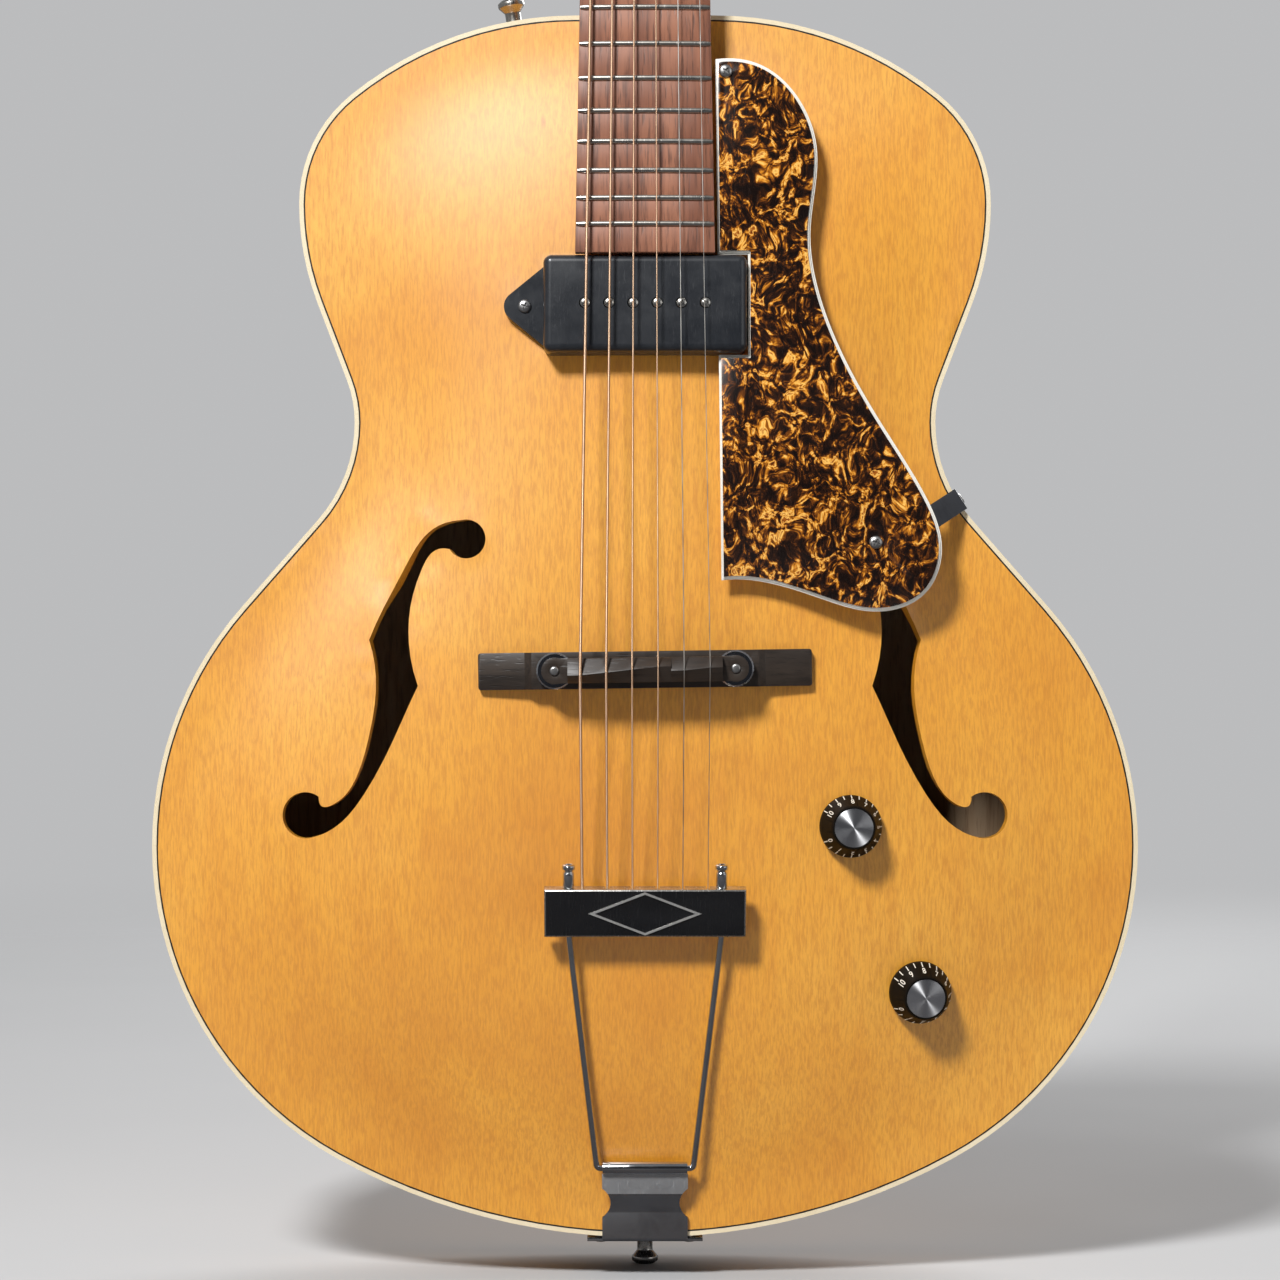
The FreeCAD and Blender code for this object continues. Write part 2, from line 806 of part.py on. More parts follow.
volume_frame = control_frame(size.volume_across, size.volume_up)
tone_frame = control_frame(size.tone_across, size.tone_up)
pickup_inner_length = size.pickup_length - 2 * size.pickup_wall
pickup_inner_width = size.pickup_width - 2 * size.pickup_wall


def pickup_box(length, width, low, high):
    """A block about the pickup's middle, in its own frame."""
    box = block(Vector(-length / 2, -width / 2, low), Vector(length / 2, width / 2, high))
    return placed(box, pickup_frame)


# Where the rim is pierced: the end pin, the strap button, the jack and the bracket's screw
jack_angle = -math.radians(size.jack_angle)
jack_way = at(math.cos(jack_angle), math.sin(jack_angle))
jack_frame = along(corner_centre + jack_way * corner_radius, jack_way)
shoulder_lean = math.acos((size.shoulder_pin_across - shoulder_across) / shoulder_radius)
shoulder_way = at(-math.cos(shoulder_lean), math.sin(shoulder_lean))
shoulder_reach = shoulder_way * (shoulder_radius + size.seat_gap)
shoulder_pin_frame = along(at(-shoulder_across, shoulder_up) + shoulder_reach, shoulder_way)
flange_face = -(size.seat_gap + size.hinge_plate_thickness)
end_pin_frame = along(at(0, flange_face), Z * -1)
hinge_screw_level = front + size.hinge_screw_depth
hinge_screws = [along(Vector(side * size.hinge_screw_spread / 2, hinge_screw_level, flange_face), Z * -1)
                for side in (-1, 1)]
bracket_angle = math.radians(size.bracket_angle)
bracket_way = at(math.cos(bracket_angle), math.sin(bracket_angle))
bracket_foot = lower_waist_centre - bracket_way * lower_waist_radius
bracket_face = size.seat_gap + size.bracket_thickness
bracket_screw_share = 0.6
rim_screw_level = front + size.bracket_drop * bracket_screw_share
rim_screw = along(bracket_foot + bracket_way * bracket_face + Y * rim_screw_level, bracket_way)


def pin_hole(frame):
    length = size.pin_shank_length + size.overrun
    return placed(rod(Z * -length, Z, size.pin_shank_radius + size.glue_gap, length + size.overrun), frame)


jack_hole = placed(
    rod(Z * -size.overrun * 2, Z, size.jack_radius + size.glue_gap, size.overrun * 3), jack_frame)
tenon_low = Vector(-size.tenon_width / 2, -size.rim_depth / 2, size.body_length - size.tenon_length)
tenon_high = Vector(size.tenon_width / 2, size.rim_depth / 2 - size.lining_depth,
                    size.body_length + size.glue_gap)
room = Vector(size.glue_gap, size.glue_gap, size.glue_gap)
mortise = block(tenon_low - room, tenon_high + room)
rim_cuts = [mortise, pin_hole(end_pin_frame), pin_hole(shoulder_pin_frame), jack_hole, pilot(rim_screw)]
rim_cuts += [pilot(frame) for frame in hinge_screws]

top_blank = top_surface.toShape().extrude(Y * size.plate_thickness).common(through(outline_face(plate_inset)))
top_cuts = [through(f_hole(side)) for side in (-1, 1)]
top_cuts += [pickup_box(pickup_inner_length, pickup_inner_width, -arch_room / 2, arch_room / 2)]
top_cuts += [pilot(frame) for frame in ear_screws]
for frame in (volume_frame, tone_frame):
    reach = size.plate_thickness + size.overrun
    top_cuts.append(placed(rod(Z * -reach, Z, size.pot_bushing_radius + size.glue_gap, reach * 2), frame))
shaped("top_plate", top_blank.cut(top_cuts))
shaped("back_plate", back_surface.toShape().extrude(Y * -size.plate_thickness).common(
    through(outline_face(plate_inset))))

rim_start = -size.rim_depth / 2
rim_ring = ring(0, size.rim_thickness, rim_start, size.rim_depth).cut(rim_cuts)
far = size.body_length * 2
for label, side in (("rim_bass", -1), ("rim_treble", 1)):
    half_space = block(Vector(-far if side < 0 else 0, -far, -far), Vector(0 if side < 0 else far, far, far))
    shaped(label, rim_ring.common(half_space))

purfling_inset = size.binding_width + size.glue_gap
shaped("binding_front", ring(0, size.binding_width, front, size.plate_thickness))
shaped("binding_back", ring(0, size.binding_width, back - size.plate_thickness, size.plate_thickness))
purfling_end = purfling_inset + size.purfling_width
shaped("purfling_front", ring(purfling_inset, purfling_end, front, size.plate_thickness))

# The blocks stand inside the rim, and the linings run between them
inner_inset = size.rim_thickness + size.glue_gap
inner_prism = deep(outline_face(inner_inset), rim_start, size.rim_depth)
neck_block_low = Vector(-size.neck_block_width / 2, rim_start, size.body_length - size.neck_block_length)
neck_block_box = block(neck_block_low, Vector(size.neck_block_width / 2, -rim_start, size.body_length))
tail_block_box = block(Vector(-size.tail_block_width / 2, rim_start, -size.overrun),
                       Vector(size.tail_block_width / 2, -rim_start, size.tail_block_length))
neck_block = inner_prism.common(neck_block_box).cut([mortise])
tail_holes = [pin_hole(end_pin_frame)] + [pilot(frame) for frame in hinge_screws]
tail_block = inner_prism.common(tail_block_box).cut(tail_holes)
shaped("end_blocks", group([neck_block, tail_block]))
lining_inset = inner_inset + size.lining_width
block_room = [neck_block_box, tail_block_box]
lining_front = ring(inner_inset, lining_inset, rim_start, size.lining_depth).cut(block_room)
lining_back = ring(inner_inset, lining_inset, -rim_start - size.lining_depth, size.lining_depth)
lining_back = lining_back.cut(block_room)
lining_cuts = [pilot(rim_screw), pin_hole(shoulder_pin_frame)]
shaped("linings", group(lining_front.cut(lining_cuts).Solids + lining_back.Solids))

bar_middle = bridge_up + size.saddle_depth
bar_splay = math.degrees(math.atan2(size.tone_bar_spread / 4, size.tone_bar_length))
bar_back = front + size.plate_thickness - size.top_arch + size.tone_bar_depth
bar_across_share = 0.8
bars = []
for side in (-1, 1):
    bar = block(Vector(-size.tone_bar_width / 2, front - size.top_arch, -size.tone_bar_length / 2),
                Vector(size.tone_bar_width / 2, bar_back, size.tone_bar_length / 2))
    bar_across = side * size.tone_bar_spread * bar_across_share
    bar.Placement = Placement(at(bar_across, bar_middle), Rotation(Y, -side * bar_splay))
    bars.append(bar.cut(before_top(size.glue_gap)))
shaped("tone_bars", group(bars))


# Neck: a lofted shaft and heel, a tilted head, a tenon and the part that carries the board

def board_half(place):
    """Half of the board's width at a place along the neck."""
    share = (nut_place - place) / (nut_place - board_end)
    return (size.board_nut_width + (size.board_end_width - size.board_nut_width) * share) / 2


neck_round_share = 0.62
neck_foot_share = 0.96


def neck_section(place, half_width, depth, foot_half):
    """A section across the neck: flat on top, straight flanks and a round underside."""
    knee = foot_half * neck_round_share - depth
    corners = [Vector(half_width, place, 0), Vector(foot_half, place, knee), Vector(-foot_half, place, knee),
               Vector(-half_width, place, 0)]
    return Part.Wire([Part.LineSegment(corners[0], corners[1]).toShape(),
                      Part.Arc(corners[1], Vector(0, place, -depth), corners[2]).toShape(),
                      Part.LineSegment(corners[2], corners[3]).toShape(),
                      Part.LineSegment(corners[3], corners[0]).toShape()])


def shaft_section(place):
    return neck_section(place, board_half(place), size.neck_depth, board_half(place) * neck_foot_share)


heel_depth = size.board_lift + (back - front) - size.seat_gap * 10
heel_shares = ((0.5, 0.06, 0.1), (0.22, 0.33, 0.5), (-0.05, 1.0, 1.0))
heel_sections = [shaft_section(size.heel_start)]
for place_share, depth_share, foot_share in heel_shares:
    place = size.heel_start * place_share
    shaft_half = board_half(place) * neck_foot_share
    heel_sections.append(neck_section(
        place, board_half(place), size.neck_depth + (heel_depth - size.neck_depth) * depth_share,
        shaft_half + (size.heel_width / 2 - shaft_half) * foot_share))
head_start = nut_place + size.nut_thickness
shaft = Part.makeLoft([shaft_section(size.heel_start), shaft_section(head_start)], True, True)
heel = Part.makeLoft(heel_sections, True, False)
body_room = block(Vector(-far, front - size.glue_gap, -far),
                  Vector(far, far, size.body_length + size.glue_gap))
upper_neck = placed(shaft.fuse(heel), neck_frame).cut(body_room)

head_base_share = 0.16
head_shoulder_share = 0.87
crown_shares = (0.72, 0.955)


def head_half(up):
    """Half of the head's width along its straight flanks."""
    share = (up / size.head_length - head_base_share) / (head_shoulder_share - head_base_share)
    return (size.head_base_width + (size.head_top_width - size.head_base_width) * share) / 2


nut_half = size.board_nut_width / 2
head_corner_up = size.head_length * head_shoulder_share
head_corner = Vector(head_half(head_corner_up), head_corner_up, 0)
flare = [Vector(nut_half, 0, 0),
         Vector((nut_half + size.head_base_width / 2) / 2, size.head_length * head_base_share / 2, 0),
         Vector(size.head_base_width / 2, size.head_length * head_base_share, 0)]
crown_across = head_corner.x * crown_shares[0]
crown_up = size.head_length * crown_shares[1]
crown = [head_corner, Vector(crown_across, crown_up, 0), Vector(0, size.head_length, 0),
         Vector(-crown_across, crown_up, 0), Vector(-head_corner.x, head_corner.y, 0)]
treble_edges = [curve(flare), Part.LineSegment(flare[-1], head_corner).toShape()]
bass_edges = [edge.mirror(HERE, X) for edge in reversed(treble_edges)]
base_edge = Part.LineSegment(Vector(-nut_half, 0, 0), Vector(nut_half, 0, 0)).toShape()
head_face = Part.Face(Part.Wire([base_edge] + treble_edges + [curve(crown)] + bass_edges))
head = head_face.extrude(Z * -size.head_thickness)
# The shaft's section runs on behind the head until the tilted head has taken it in
volute_shares = (1.4, 0.9)
volute_end = head_start + size.neck_depth * volute_shares[0]
volute = Part.makeLoft([shaft_section(head_start), neck_section(
    volute_end, nut_half, size.neck_depth, nut_half * volute_shares[1])], True, True)
head_room = placed(block(Vector(-far, -far, 0), Vector(far, far, far)), head_frame)
volute = placed(volute, neck_frame).cut(head_room)
extension = placed(block(Vector(-size.extension_width / 2, -size.extension_length, -size.board_lift * 2),
                         Vector(size.extension_width / 2, size.overrun, 0)), neck_frame)
extension = extension.cut(behind_top(size.extension_gap))
tenon = block(tenon_low, tenon_high)
whole_neck = upper_neck.fuse([placed(head, head_frame), volute, extension, tenon])

# The truss rod lies in a channel under the board; its nut is reached through a pocket under a cover
channel_half = size.truss_rod_radius + size.seat_gap
rod_level = channel_half - size.truss_channel_depth
rod_start = head_start - size.truss_rod_length
channel = block(Vector(-channel_half, rod_start - size.seat_gap, -size.truss_channel_depth),
                Vector(channel_half, head_start + size.overrun, size.overrun))
truss_nut_share = 1.35
truss_nut_radius = size.truss_rod_radius * truss_nut_share
pocket_half = truss_nut_radius + size.cover_gap
pocket_share = 0.45
cover_start_share = 0.6
cover_start = size.nut_thickness * cover_start_share
nut_pocket = block(Vector(-pocket_half, -cover_start, -size.truss_channel_depth - size.seat_gap),
                   Vector(pocket_half, size.cover_length * pocket_share, size.overrun))

# Tuners stand three a side; each is given by its side and its place up the head
tuner_places = [(-1, 0), (-1, 1), (-1, 2), (1, 2), (1, 1), (1, 0)]


def tuner_frame(number):
    """Frame of a tuner's post, on the head's face, for a string counted from the bass."""
    side, step = tuner_places[number]
    up = size.tuner_first + step * size.tuner_pitch
    return head_frame.multiply(Placement(Vector(side * (head_half(up) - size.tuner_edge), up, 0), Rotation()))


tuner_frames = [tuner_frame(number) for number in range(string_count)]
tuner_holes = [placed(rod(Z * -far / 4, Z, size.bushing_radius + size.glue_gap, far / 2), frame)
               for frame in tuner_frames]
cover_screw_shares = ((-0.34, 0.14), (0.34, 0.14), (0, 0.88))
cover_screw_spots = [
    Vector(across * size.cover_width, cover_start + up * size.cover_length, size.cover_thickness)
    for across, up in cover_screw_shares]
cover_screws = [head_frame.multiply(Placement(spot, Rotation())) for spot in cover_screw_spots]
neck_cuts = [placed(channel, neck_frame), placed(nut_pocket, head_frame)] + tuner_holes
neck_cuts += [pilot(frame) for frame in cover_screws]
shaped("neck", whole_neck.cut(neck_cuts))

rod_socket_share = 0.6
truss_nut_side = f"truss_rod_radius * {truss_nut_share}"
rod_socket = f"truss_rod_radius * {rod_socket_share}"
truss_rod = turned("truss_rod", [
    ("0", "0"), ("truss_rod_radius", "0"), ("truss_rod_radius", "truss_rod_length"),
    (truss_nut_side, "truss_rod_length + nut_thickness * 0.5"),
    (truss_nut_side, "truss_rod_length + nut_thickness * 1.5"),
    (rod_socket, "truss_rod_length + nut_thickness * 1.5"),
    (rod_socket, "truss_rod_length + nut_thickness"), ("0", "truss_rod_length + nut_thickness")])
truss_rod.Placement = neck_frame.multiply(
    Placement(Vector(0, rod_start, rod_level), Rotation(X, -right_angle)))
keep("truss_rod", truss_rod)

cover = new_body("truss_rod_cover")
cover_low = f"nut_thickness * {cover_start_share}"
cover_shares = ((-0.5, 0), (0.5, 0), (0.5, 0.3), (0.2, 1), (-0.2, 1), (-0.5, 0.3))
cover_corners = [(f"{across} * cover_width", f"{cover_low} + {up} * cover_length")
                 for across, up in cover_shares]
pad(cover, outline_sketch(cover, "XY_Plane", cover_corners), "cover_thickness")
rounded(cover, "cover_thickness * 2", lambda edge: abs(edge.tangentAt(edge.FirstParameter).z) > 1 / 2)
cover_holes = [(f"{across} * cover_width", f"{cover_low} + {up} * cover_length", "screw_radius + glue_gap")
               for across, up in cover_screw_shares]
pocket(cover, circle_sketch(cover, "XY_Plane", cover_holes, "cover_thickness"), "cover_thickness * 2")
cover.Placement = head_frame
keep("truss_rod_cover", cover)

# The board's crown is part of a cylinder; each fret is a ring sector about the same axis
crown_axis = board_top - size.board_radius
end_half = size.board_end_width / 2
board_plan = loop([Vector(-nut_half, nut_place, 0), Vector(nut_half, nut_place, 0),
                   Vector(end_half, board_end, 0), Vector(-end_half, board_end, 0)])
board_blank = Part.Face(board_plan).extrude(Z * board_top)
crown_room = rod(Vector(0, board_end - size.overrun, crown_axis), Y, size.board_radius,
                 nut_place - board_end + size.overrun * 2)
board_blank = board_blank.common(crown_room)
fret_top_share = 0.45
slots = []
frets = []
for number in range(1, fret_count + 1):
    place = fret_place(number)
    half_slot = size.fret_tang_width / 2 + size.glue_gap
    slot_low = board_top - size.fret_tang - size.fret_height
    slots.append(block(Vector(-nut_half * 2, place - half_slot, slot_low),
                       Vector(nut_half * 2, place + half_slot, board_top * 2)))
    half_crown = size.fret_width / 2
    half_tang = size.fret_tang_width / 2
    level = board_top + size.glue_gap
    low = board_top - size.fret_tang
    top = level + size.fret_height
    profile = [(half_crown, level), (half_crown * fret_top_share, top), (-half_crown * fret_top_share, top),
               (-half_crown, level), (-half_tang, level), (-half_tang, low), (half_tang, low),
               (half_tang, level)]
    section = Part.Face(loop([Vector(0, place + offset, height) for offset, height in profile]))
    sweep = math.degrees(math.asin((board_half(place) - size.fret_inset) / size.board_radius))
    axis_spot = Vector(0, 0, crown_axis)
    section.rotate(axis_spot, Y, -sweep)
    frets.append(section.revolve(axis_spot, Y, 2 * sweep))
shaped("fretboard", board_blank.cut(slots), neck_frame)
shaped("frets", group(frets), neck_frame)


# Strings: each runs straight from its ball to the saddle, the nut and its post, then winds on

def arc_between(start, way, end):
    """The arc that leaves a point along a way and reaches another."""
    chord = end - start
    bow = way - chord * (way.dot(chord) / chord.dot(chord))
    rise = chord.Length / 2 * math.tan(way.getAngle(chord) / 2)
    return Part.Arc(start, start + chord / 2 + bow.normalize() * rise, end).toShape()


def two_arcs(start, start_way, end, end_way):
    """Two tangent arcs that leave one point along a way and come into another along its own."""
    gap = end - start
    both = start_way + end_way
    fall = 2 * (1 - start_way.dot(end_way))
    reach = (math.sqrt(gap.dot(both) ** 2 + fall * gap.dot(gap)) - gap.dot(both)) / fall
    meeting = (start + end + (start_way - end_way) * reach) / 2
    back_arc = arc_between(end, end_way * -1, meeting)
    return [arc_between(start, start_way, meeting), back_arc.reversed()]


def tail_spot(number):
    """Where a string's ball is held, below the tailpiece bar's top flange."""
    across = spaced(size.string_tail_spread, number, string_count)
    up = size.bar_place + size.bar_width / 2 - size.bar_wall - size.string_ball - size.seat_gap
    return tail_frame.multVec(Vector(across, up, 0))


waist_low = size.bushing_flange_height + size.seat_gap * 5


def string_route(number):
    """Edges of one string's middle line, the points of its winding, and its half diameter."""
    radius = string_radii[number]
    frame = tuner_frames[number]
    spin = -tuner_places[number][0]
    coil = size.post_waist + size.seat_gap * 2 + radius
    climb = (2 * radius + size.winding_gap) / (2 * half_turn)
    level = waist_low + size.string_bend / 2 + radius
    nut = nut_crossing(number)
    seen = frame.inverse().multVec(nut)
    reach = math.hypot(seen.x, seen.y)
    start = math.atan2(-seen.y, -seen.x) - spin * math.asin(coil / reach) - spin * quarter_turn

    def spot(turned_by):
        angle = start + spin * turned_by
        out = level + climb * turned_by
        return frame.multVec(Vector(coil * math.cos(angle), coil * math.sin(angle), out))

    def way(turned_by):
        angle = start + spin * turned_by
        out = Vector(-spin * coil * math.sin(angle), spin * coil * math.cos(angle), climb)
        return frame.Rotation.multVec(out).normalize()

    points = [tail_spot(number), saddle_crossing(number), nut, spot(0)]
    edges = bent_path(points, [size.string_bend] * 2)
    arrival = (points[3] - points[2]).normalize()
    steps = [quarter_turn * k for k in range(4 * winding_turns + 1)]
    for here, there in zip(steps, steps[1:]):
        edges += two_arcs(spot(here), arrival if here == 0 else way(here), spot(there), way(there))
    end = spot(steps[-1])
    edges.append(Part.LineSegment(end, end + way(steps[-1]) * (2 * radius)).toShape())
    fine = [spot(quarter_turn * k / 6) for k in range(24 * winding_turns + 1)]
    return edges, fine, radius


strings = []
for number in range(string_count):
    edges, fine, radius = string_route(number)
    wire = tube(edges, radius)
    length = sum(edge.Length for edge in edges)
    between = min(a.distanceToPoint(b) for k, a in enumerate(fine) for b in fine[k + 12:]) - 2 * radius
    share = wire.Volume / (math.pi * radius ** 2 * length)
    print(f"string {number + 1}: length {length:.1f}, volume share {share:.4f}, "
          f"gap between turns {between:.2f}")
    strings.append(wire.fuse(ball(tail_spot(number), size.string_ball)))
shaped("strings_wound", group(strings[:wound_count]))
shaped("strings_plain", group(strings[wound_count:]))

# The nut carries the strings in half-round grooves
nut_top = board_top + size.fret_height + size.string_nut_rise + size.string_bass_radius / 2
nut_block = block(Vector(-nut_half, nut_place + size.glue_gap, 0), Vector(nut_half, head_start, nut_top))
nut_axis = Vector(0, nut_place, nut_top - size.board_radius)
nut_crown = rod(nut_axis, Y, size.board_radius, size.nut_thickness * 2)
grooves = []
for number in range(string_count):
    seen = [neck_frame.inverse().multVec(spot) for spot in (
        saddle_crossing(number), nut_crossing(number), tuner_frames[number].multVec(Vector(0, 0, waist_low)))]
    groove_radius = string_radii[number] + size.seat_gap * 3 / 2
    before = seen[1] + (seen[0] - seen[1]).normalize() * size.nut_thickness
    after = seen[1] + (seen[2] - seen[1]).normalize() * size.nut_thickness
    grooves.append(rod(before, seen[1] - before, groove_radius, size.nut_thickness))
    grooves.append(rod(seen[1], after - seen[1], groove_radius, size.nut_thickness))
    grooves.append(ball(seen[1], groove_radius))
shaped("nut", nut_block.common(nut_crown).cut(grooves), neck_frame)

# Tuners: a housing behind the head, a bushing through it, a turning post and a key
housing_bore = "post_radius + running_gap"
post_foot_share = 0.7
post_foot = f"-head_thickness - housing_depth * {post_foot_share}"
# Up the post: its eye, the end of its waist and the start of its head
post_shares = (0.68, 0.75, 0.8)
for number, frame in enumerate(tuner_frames, start=1):
    post = turned(f"tuner_post_{number}", [
        ("0", post_foot), ("post_radius", post_foot), ("post_radius", "bushing_flange_height + seat_gap * 4"),
        ("post_waist", "bushing_flange_height + seat_gap * 5"),
        ("post_waist", f"post_height * {post_shares[1]}"),
        ("post_radius", f"post_height * {post_shares[2]}"), ("post_radius", "post_height - seat_gap * 3"),
        ("post_radius - seat_gap * 3", "post_height"), ("0", "post_height")])
    eye = circle_sketch(post, "XZ_Plane", [
        ("0", f"post_height * {post_shares[0]}", "string_bass_radius + running_gap")])
    pocket(post, eye, "post_radius * 4", both_ways=True)
    post.Placement = frame
    keep(f"tuner_post_{number}", post)

flange_edge_share = 0.6
bushing = turned("bushing_pattern", [
    (housing_bore, "-head_thickness"), ("bushing_radius", "-head_thickness"), ("bushing_radius", "0"),
    ("bushing_flange", "0"), ("bushing_flange", f"bushing_flange_height * {flange_edge_share}"),
    (f"bushing_flange - bushing_flange_height * {1 - flange_edge_share}", "bushing_flange_height"),
    (housing_bore, "bushing_flange_height")])
round_from_share = 0.4
bore_share = 0.8
housings = {}
for side, word in ((-1, "bass"), (1, "treble")):
    housing = new_body(f"housing_{word}")
    plan = [(across, f"{up} - worm_offset * 0.5") for across, up in
            rectangle("housing_width * 0.5", "housing_length * 0.5")]
    pad(housing, outline_sketch(housing, "XY_Plane", plan), "housing_depth", backwards=True)
    rounded(housing, "housing_round",
            lambda edge: edge.CenterOfMass.z < -size.housing_depth * round_from_share)
    bore = circle_sketch(housing, "XY_Plane", [("0", "0", housing_bore)])
    pocket(housing, bore, f"housing_depth * {bore_share}")
    way_in = circle_sketch(housing, "YZ_Plane", [("-worm_offset", "-housing_depth * 0.5",
                                                  "key_shaft_radius + running_gap")],
                           f"{side} * housing_width * 0.5")
    pocket(housing, way_in, "key_shaft_depth + seat_gap", backwards=side < 0)
    housings[side] = housing
doc.recompute()
fittings = []
for number, frame in enumerate(tuner_frames):
    behind = frame.multiply(Placement(Z * -(size.head_thickness + size.glue_gap), Rotation()))
    fittings.append(placed(bushing.Shape, frame))
    fittings.append(placed(housings[tuner_places[number][0]].Shape, behind))
shaped("tuner_housings", group(fittings))

key_collar_share = 1.5
key_taper_shares = (0.3, 0.5)
key_root_share = 0.3
key_shares = ((0.2, 0), (0.42, 0.2), (0.5, 0.5), (0.46, 0.78), (0.26, 1.0))
key_collar = f"key_shaft_radius * {key_collar_share}"
for number, frame in enumerate(tuner_frames, start=1):
    side = tuner_places[number - 1][0]
    start = "tuner_edge - housing_width * 0.5 + key_clearance"
    shaft_end = f"{start} + key_length * {key_root_share}"
    key = turned(f"tuner_key_{number}", [
        ("0", "-key_shaft_depth"), ("key_shaft_radius", "-key_shaft_depth"), ("key_shaft_radius", "seat_gap"),
        (key_collar, "seat_gap"), (key_collar, f"({start}) * {key_taper_shares[0]}"),
        ("key_shaft_radius", f"({start}) * {key_taper_shares[1]}"), ("key_shaft_radius", shaft_end),
        ("0", shaft_end)])
    flank = [(f"key_width * {across}", f"{start} + key_length * {up}") for across, up in key_shares]
    button = flank + [(f"-({across})", up) for across, up in reversed(flank)]
    pad(key, outline_sketch(key, "XZ_Plane", button), "key_thickness", both_ways=True)
    key.Placement = frame.multiply(Placement(
        Vector(side * size.housing_width / 2, -size.worm_offset,
               -size.head_thickness - size.glue_gap - size.housing_depth / 2), Rotation(Z, X * side)))
    keep(f"tuner_key_{number}", key)


# Pickup: a dog-ear cover over a bobbin, its coil, two magnets and a base plate

pole_places = [(f"pole_spread * {number / (pole_count - 1) - 1 / 2}", "0") for number in range(pole_count)]


def pole_circles(radius):
    return [(across, up, radius) for across, up in pole_places]


def upright(edge):
    return abs(edge.tangentAt(edge.FirstParameter).z) > 1 / 2


inner_length = "(pickup_length - pickup_wall * 2)"
inner_width = "(pickup_width - pickup_wall * 2)"
cover_body = new_body("pickup_cover_form")
ear_shares = (1.1, 1.16)
ear_base = f"pickup_width * 0.5 - pickup_round * {ear_shares[0]}"
ear_point = f"pickup_length * 0.5 + ear_length * {ear_shares[1]}"
ears = [(f"-({ear_point})", "0"), ("-pickup_length * 0.5", f"-({ear_base})"),
        ("pickup_length * 0.5", f"-({ear_base})"), (ear_point, "0"),
        ("pickup_length * 0.5", ear_base), ("-pickup_length * 0.5", ear_base)]
pad(cover_body, outline_sketch(cover_body, "XY_Plane", ears, "-ear_drop"), "ear_drop + ear_rise")
rounded(cover_body, "ear_tip_radius", lambda edge: (
    upright(edge) and abs(edge.CenterOfMass.x) > size.pickup_length / 2 + size.seat_gap))
box_plan = rectangle("pickup_length * 0.5", "pickup_width * 0.5")
pad(cover_body, outline_sketch(cover_body, "XY_Plane", box_plan, "-ear_drop"), "ear_drop + pickup_rise")
rounded(cover_body, "pickup_round", lambda edge: (
    edge.BoundBox.ZMin > size.pickup_rise - size.seat_gap
    or upright(edge) and abs(abs(edge.CenterOfMass.y) - size.pickup_width / 2) < size.seat_gap))
cavity_plan = rectangle(f"{inner_length} * 0.5", f"{inner_width} * 0.5")
cavity = outline_sketch(cover_body, "XY_Plane", cavity_plan, "-ear_drop")
pocket(cover_body, cavity, "ear_drop + pickup_rise - pickup_wall", backwards=True)
pole_windows = circle_sketch(cover_body, "XY_Plane", pole_circles("pole_radius + seat_gap"), "pickup_rise")
pocket(cover_body, pole_windows, "pickup_wall * 2")
doc.recompute()
cover_cuts = [behind_top(size.seat_gap)] + [pilot(frame) for frame in ear_screws]
shaped("pickup_cover", placed(cover_body.Shape, pickup_frame).cut(cover_cuts))

roof = "(pickup_rise - pickup_wall - seat_gap)"
bobbin = new_body("pickup_bobbin")
flange_plan = rectangle(f"{inner_length} * 0.5 - seat_gap", f"{inner_width} * 0.5 - seat_gap")
pad(bobbin, outline_sketch(bobbin, "XY_Plane", flange_plan, roof), "bobbin_flange", backwards=True)
pad(bobbin, outline_sketch(bobbin, "XY_Plane", flange_plan, f"{roof} - bobbin_height"), "bobbin_flange")
core_plan = rectangle("pole_spread * 0.5 + bobbin_core * 0.5", "bobbin_core * 0.5")
pad(bobbin, outline_sketch(bobbin, "XY_Plane", core_plan, roof), "bobbin_height", backwards=True)
pole_shank_share = 0.7
pole_shank = f"pole_radius * {pole_shank_share}"
for radius, depth in (("pole_radius", "pole_head_height"), (pole_shank, "bobbin_height * 2")):
    pole_holes = circle_sketch(bobbin, "XY_Plane", pole_circles(f"{radius} + glue_gap"), roof)
    pocket(bobbin, pole_holes, depth)
bobbin.Placement = pickup_frame
keep("pickup_bobbin", bobbin)

coil = new_body("pickup_coil")
coil_level = f"{roof} - bobbin_flange - glue_gap"
coil_shares = (1.2, 1.6)
coil_plan = rectangle(f"pole_spread * 0.5 + bobbin_core * {coil_shares[0]}",
                      f"bobbin_core * {coil_shares[1]}")
coil_height = "bobbin_height - (bobbin_flange + glue_gap) * 2"
pad(coil, outline_sketch(coil, "XY_Plane", coil_plan, coil_level), coil_height, backwards=True)
rounded(coil, "bobbin_core", upright)
coil_core = rectangle("pole_spread * 0.5 + bobbin_core * 0.5 + glue_gap", "bobbin_core * 0.5 + glue_gap")
pocket(coil, outline_sketch(coil, "XY_Plane", coil_core, coil_level), "bobbin_height")
coil.Placement = pickup_frame
keep("pickup_coil", coil)

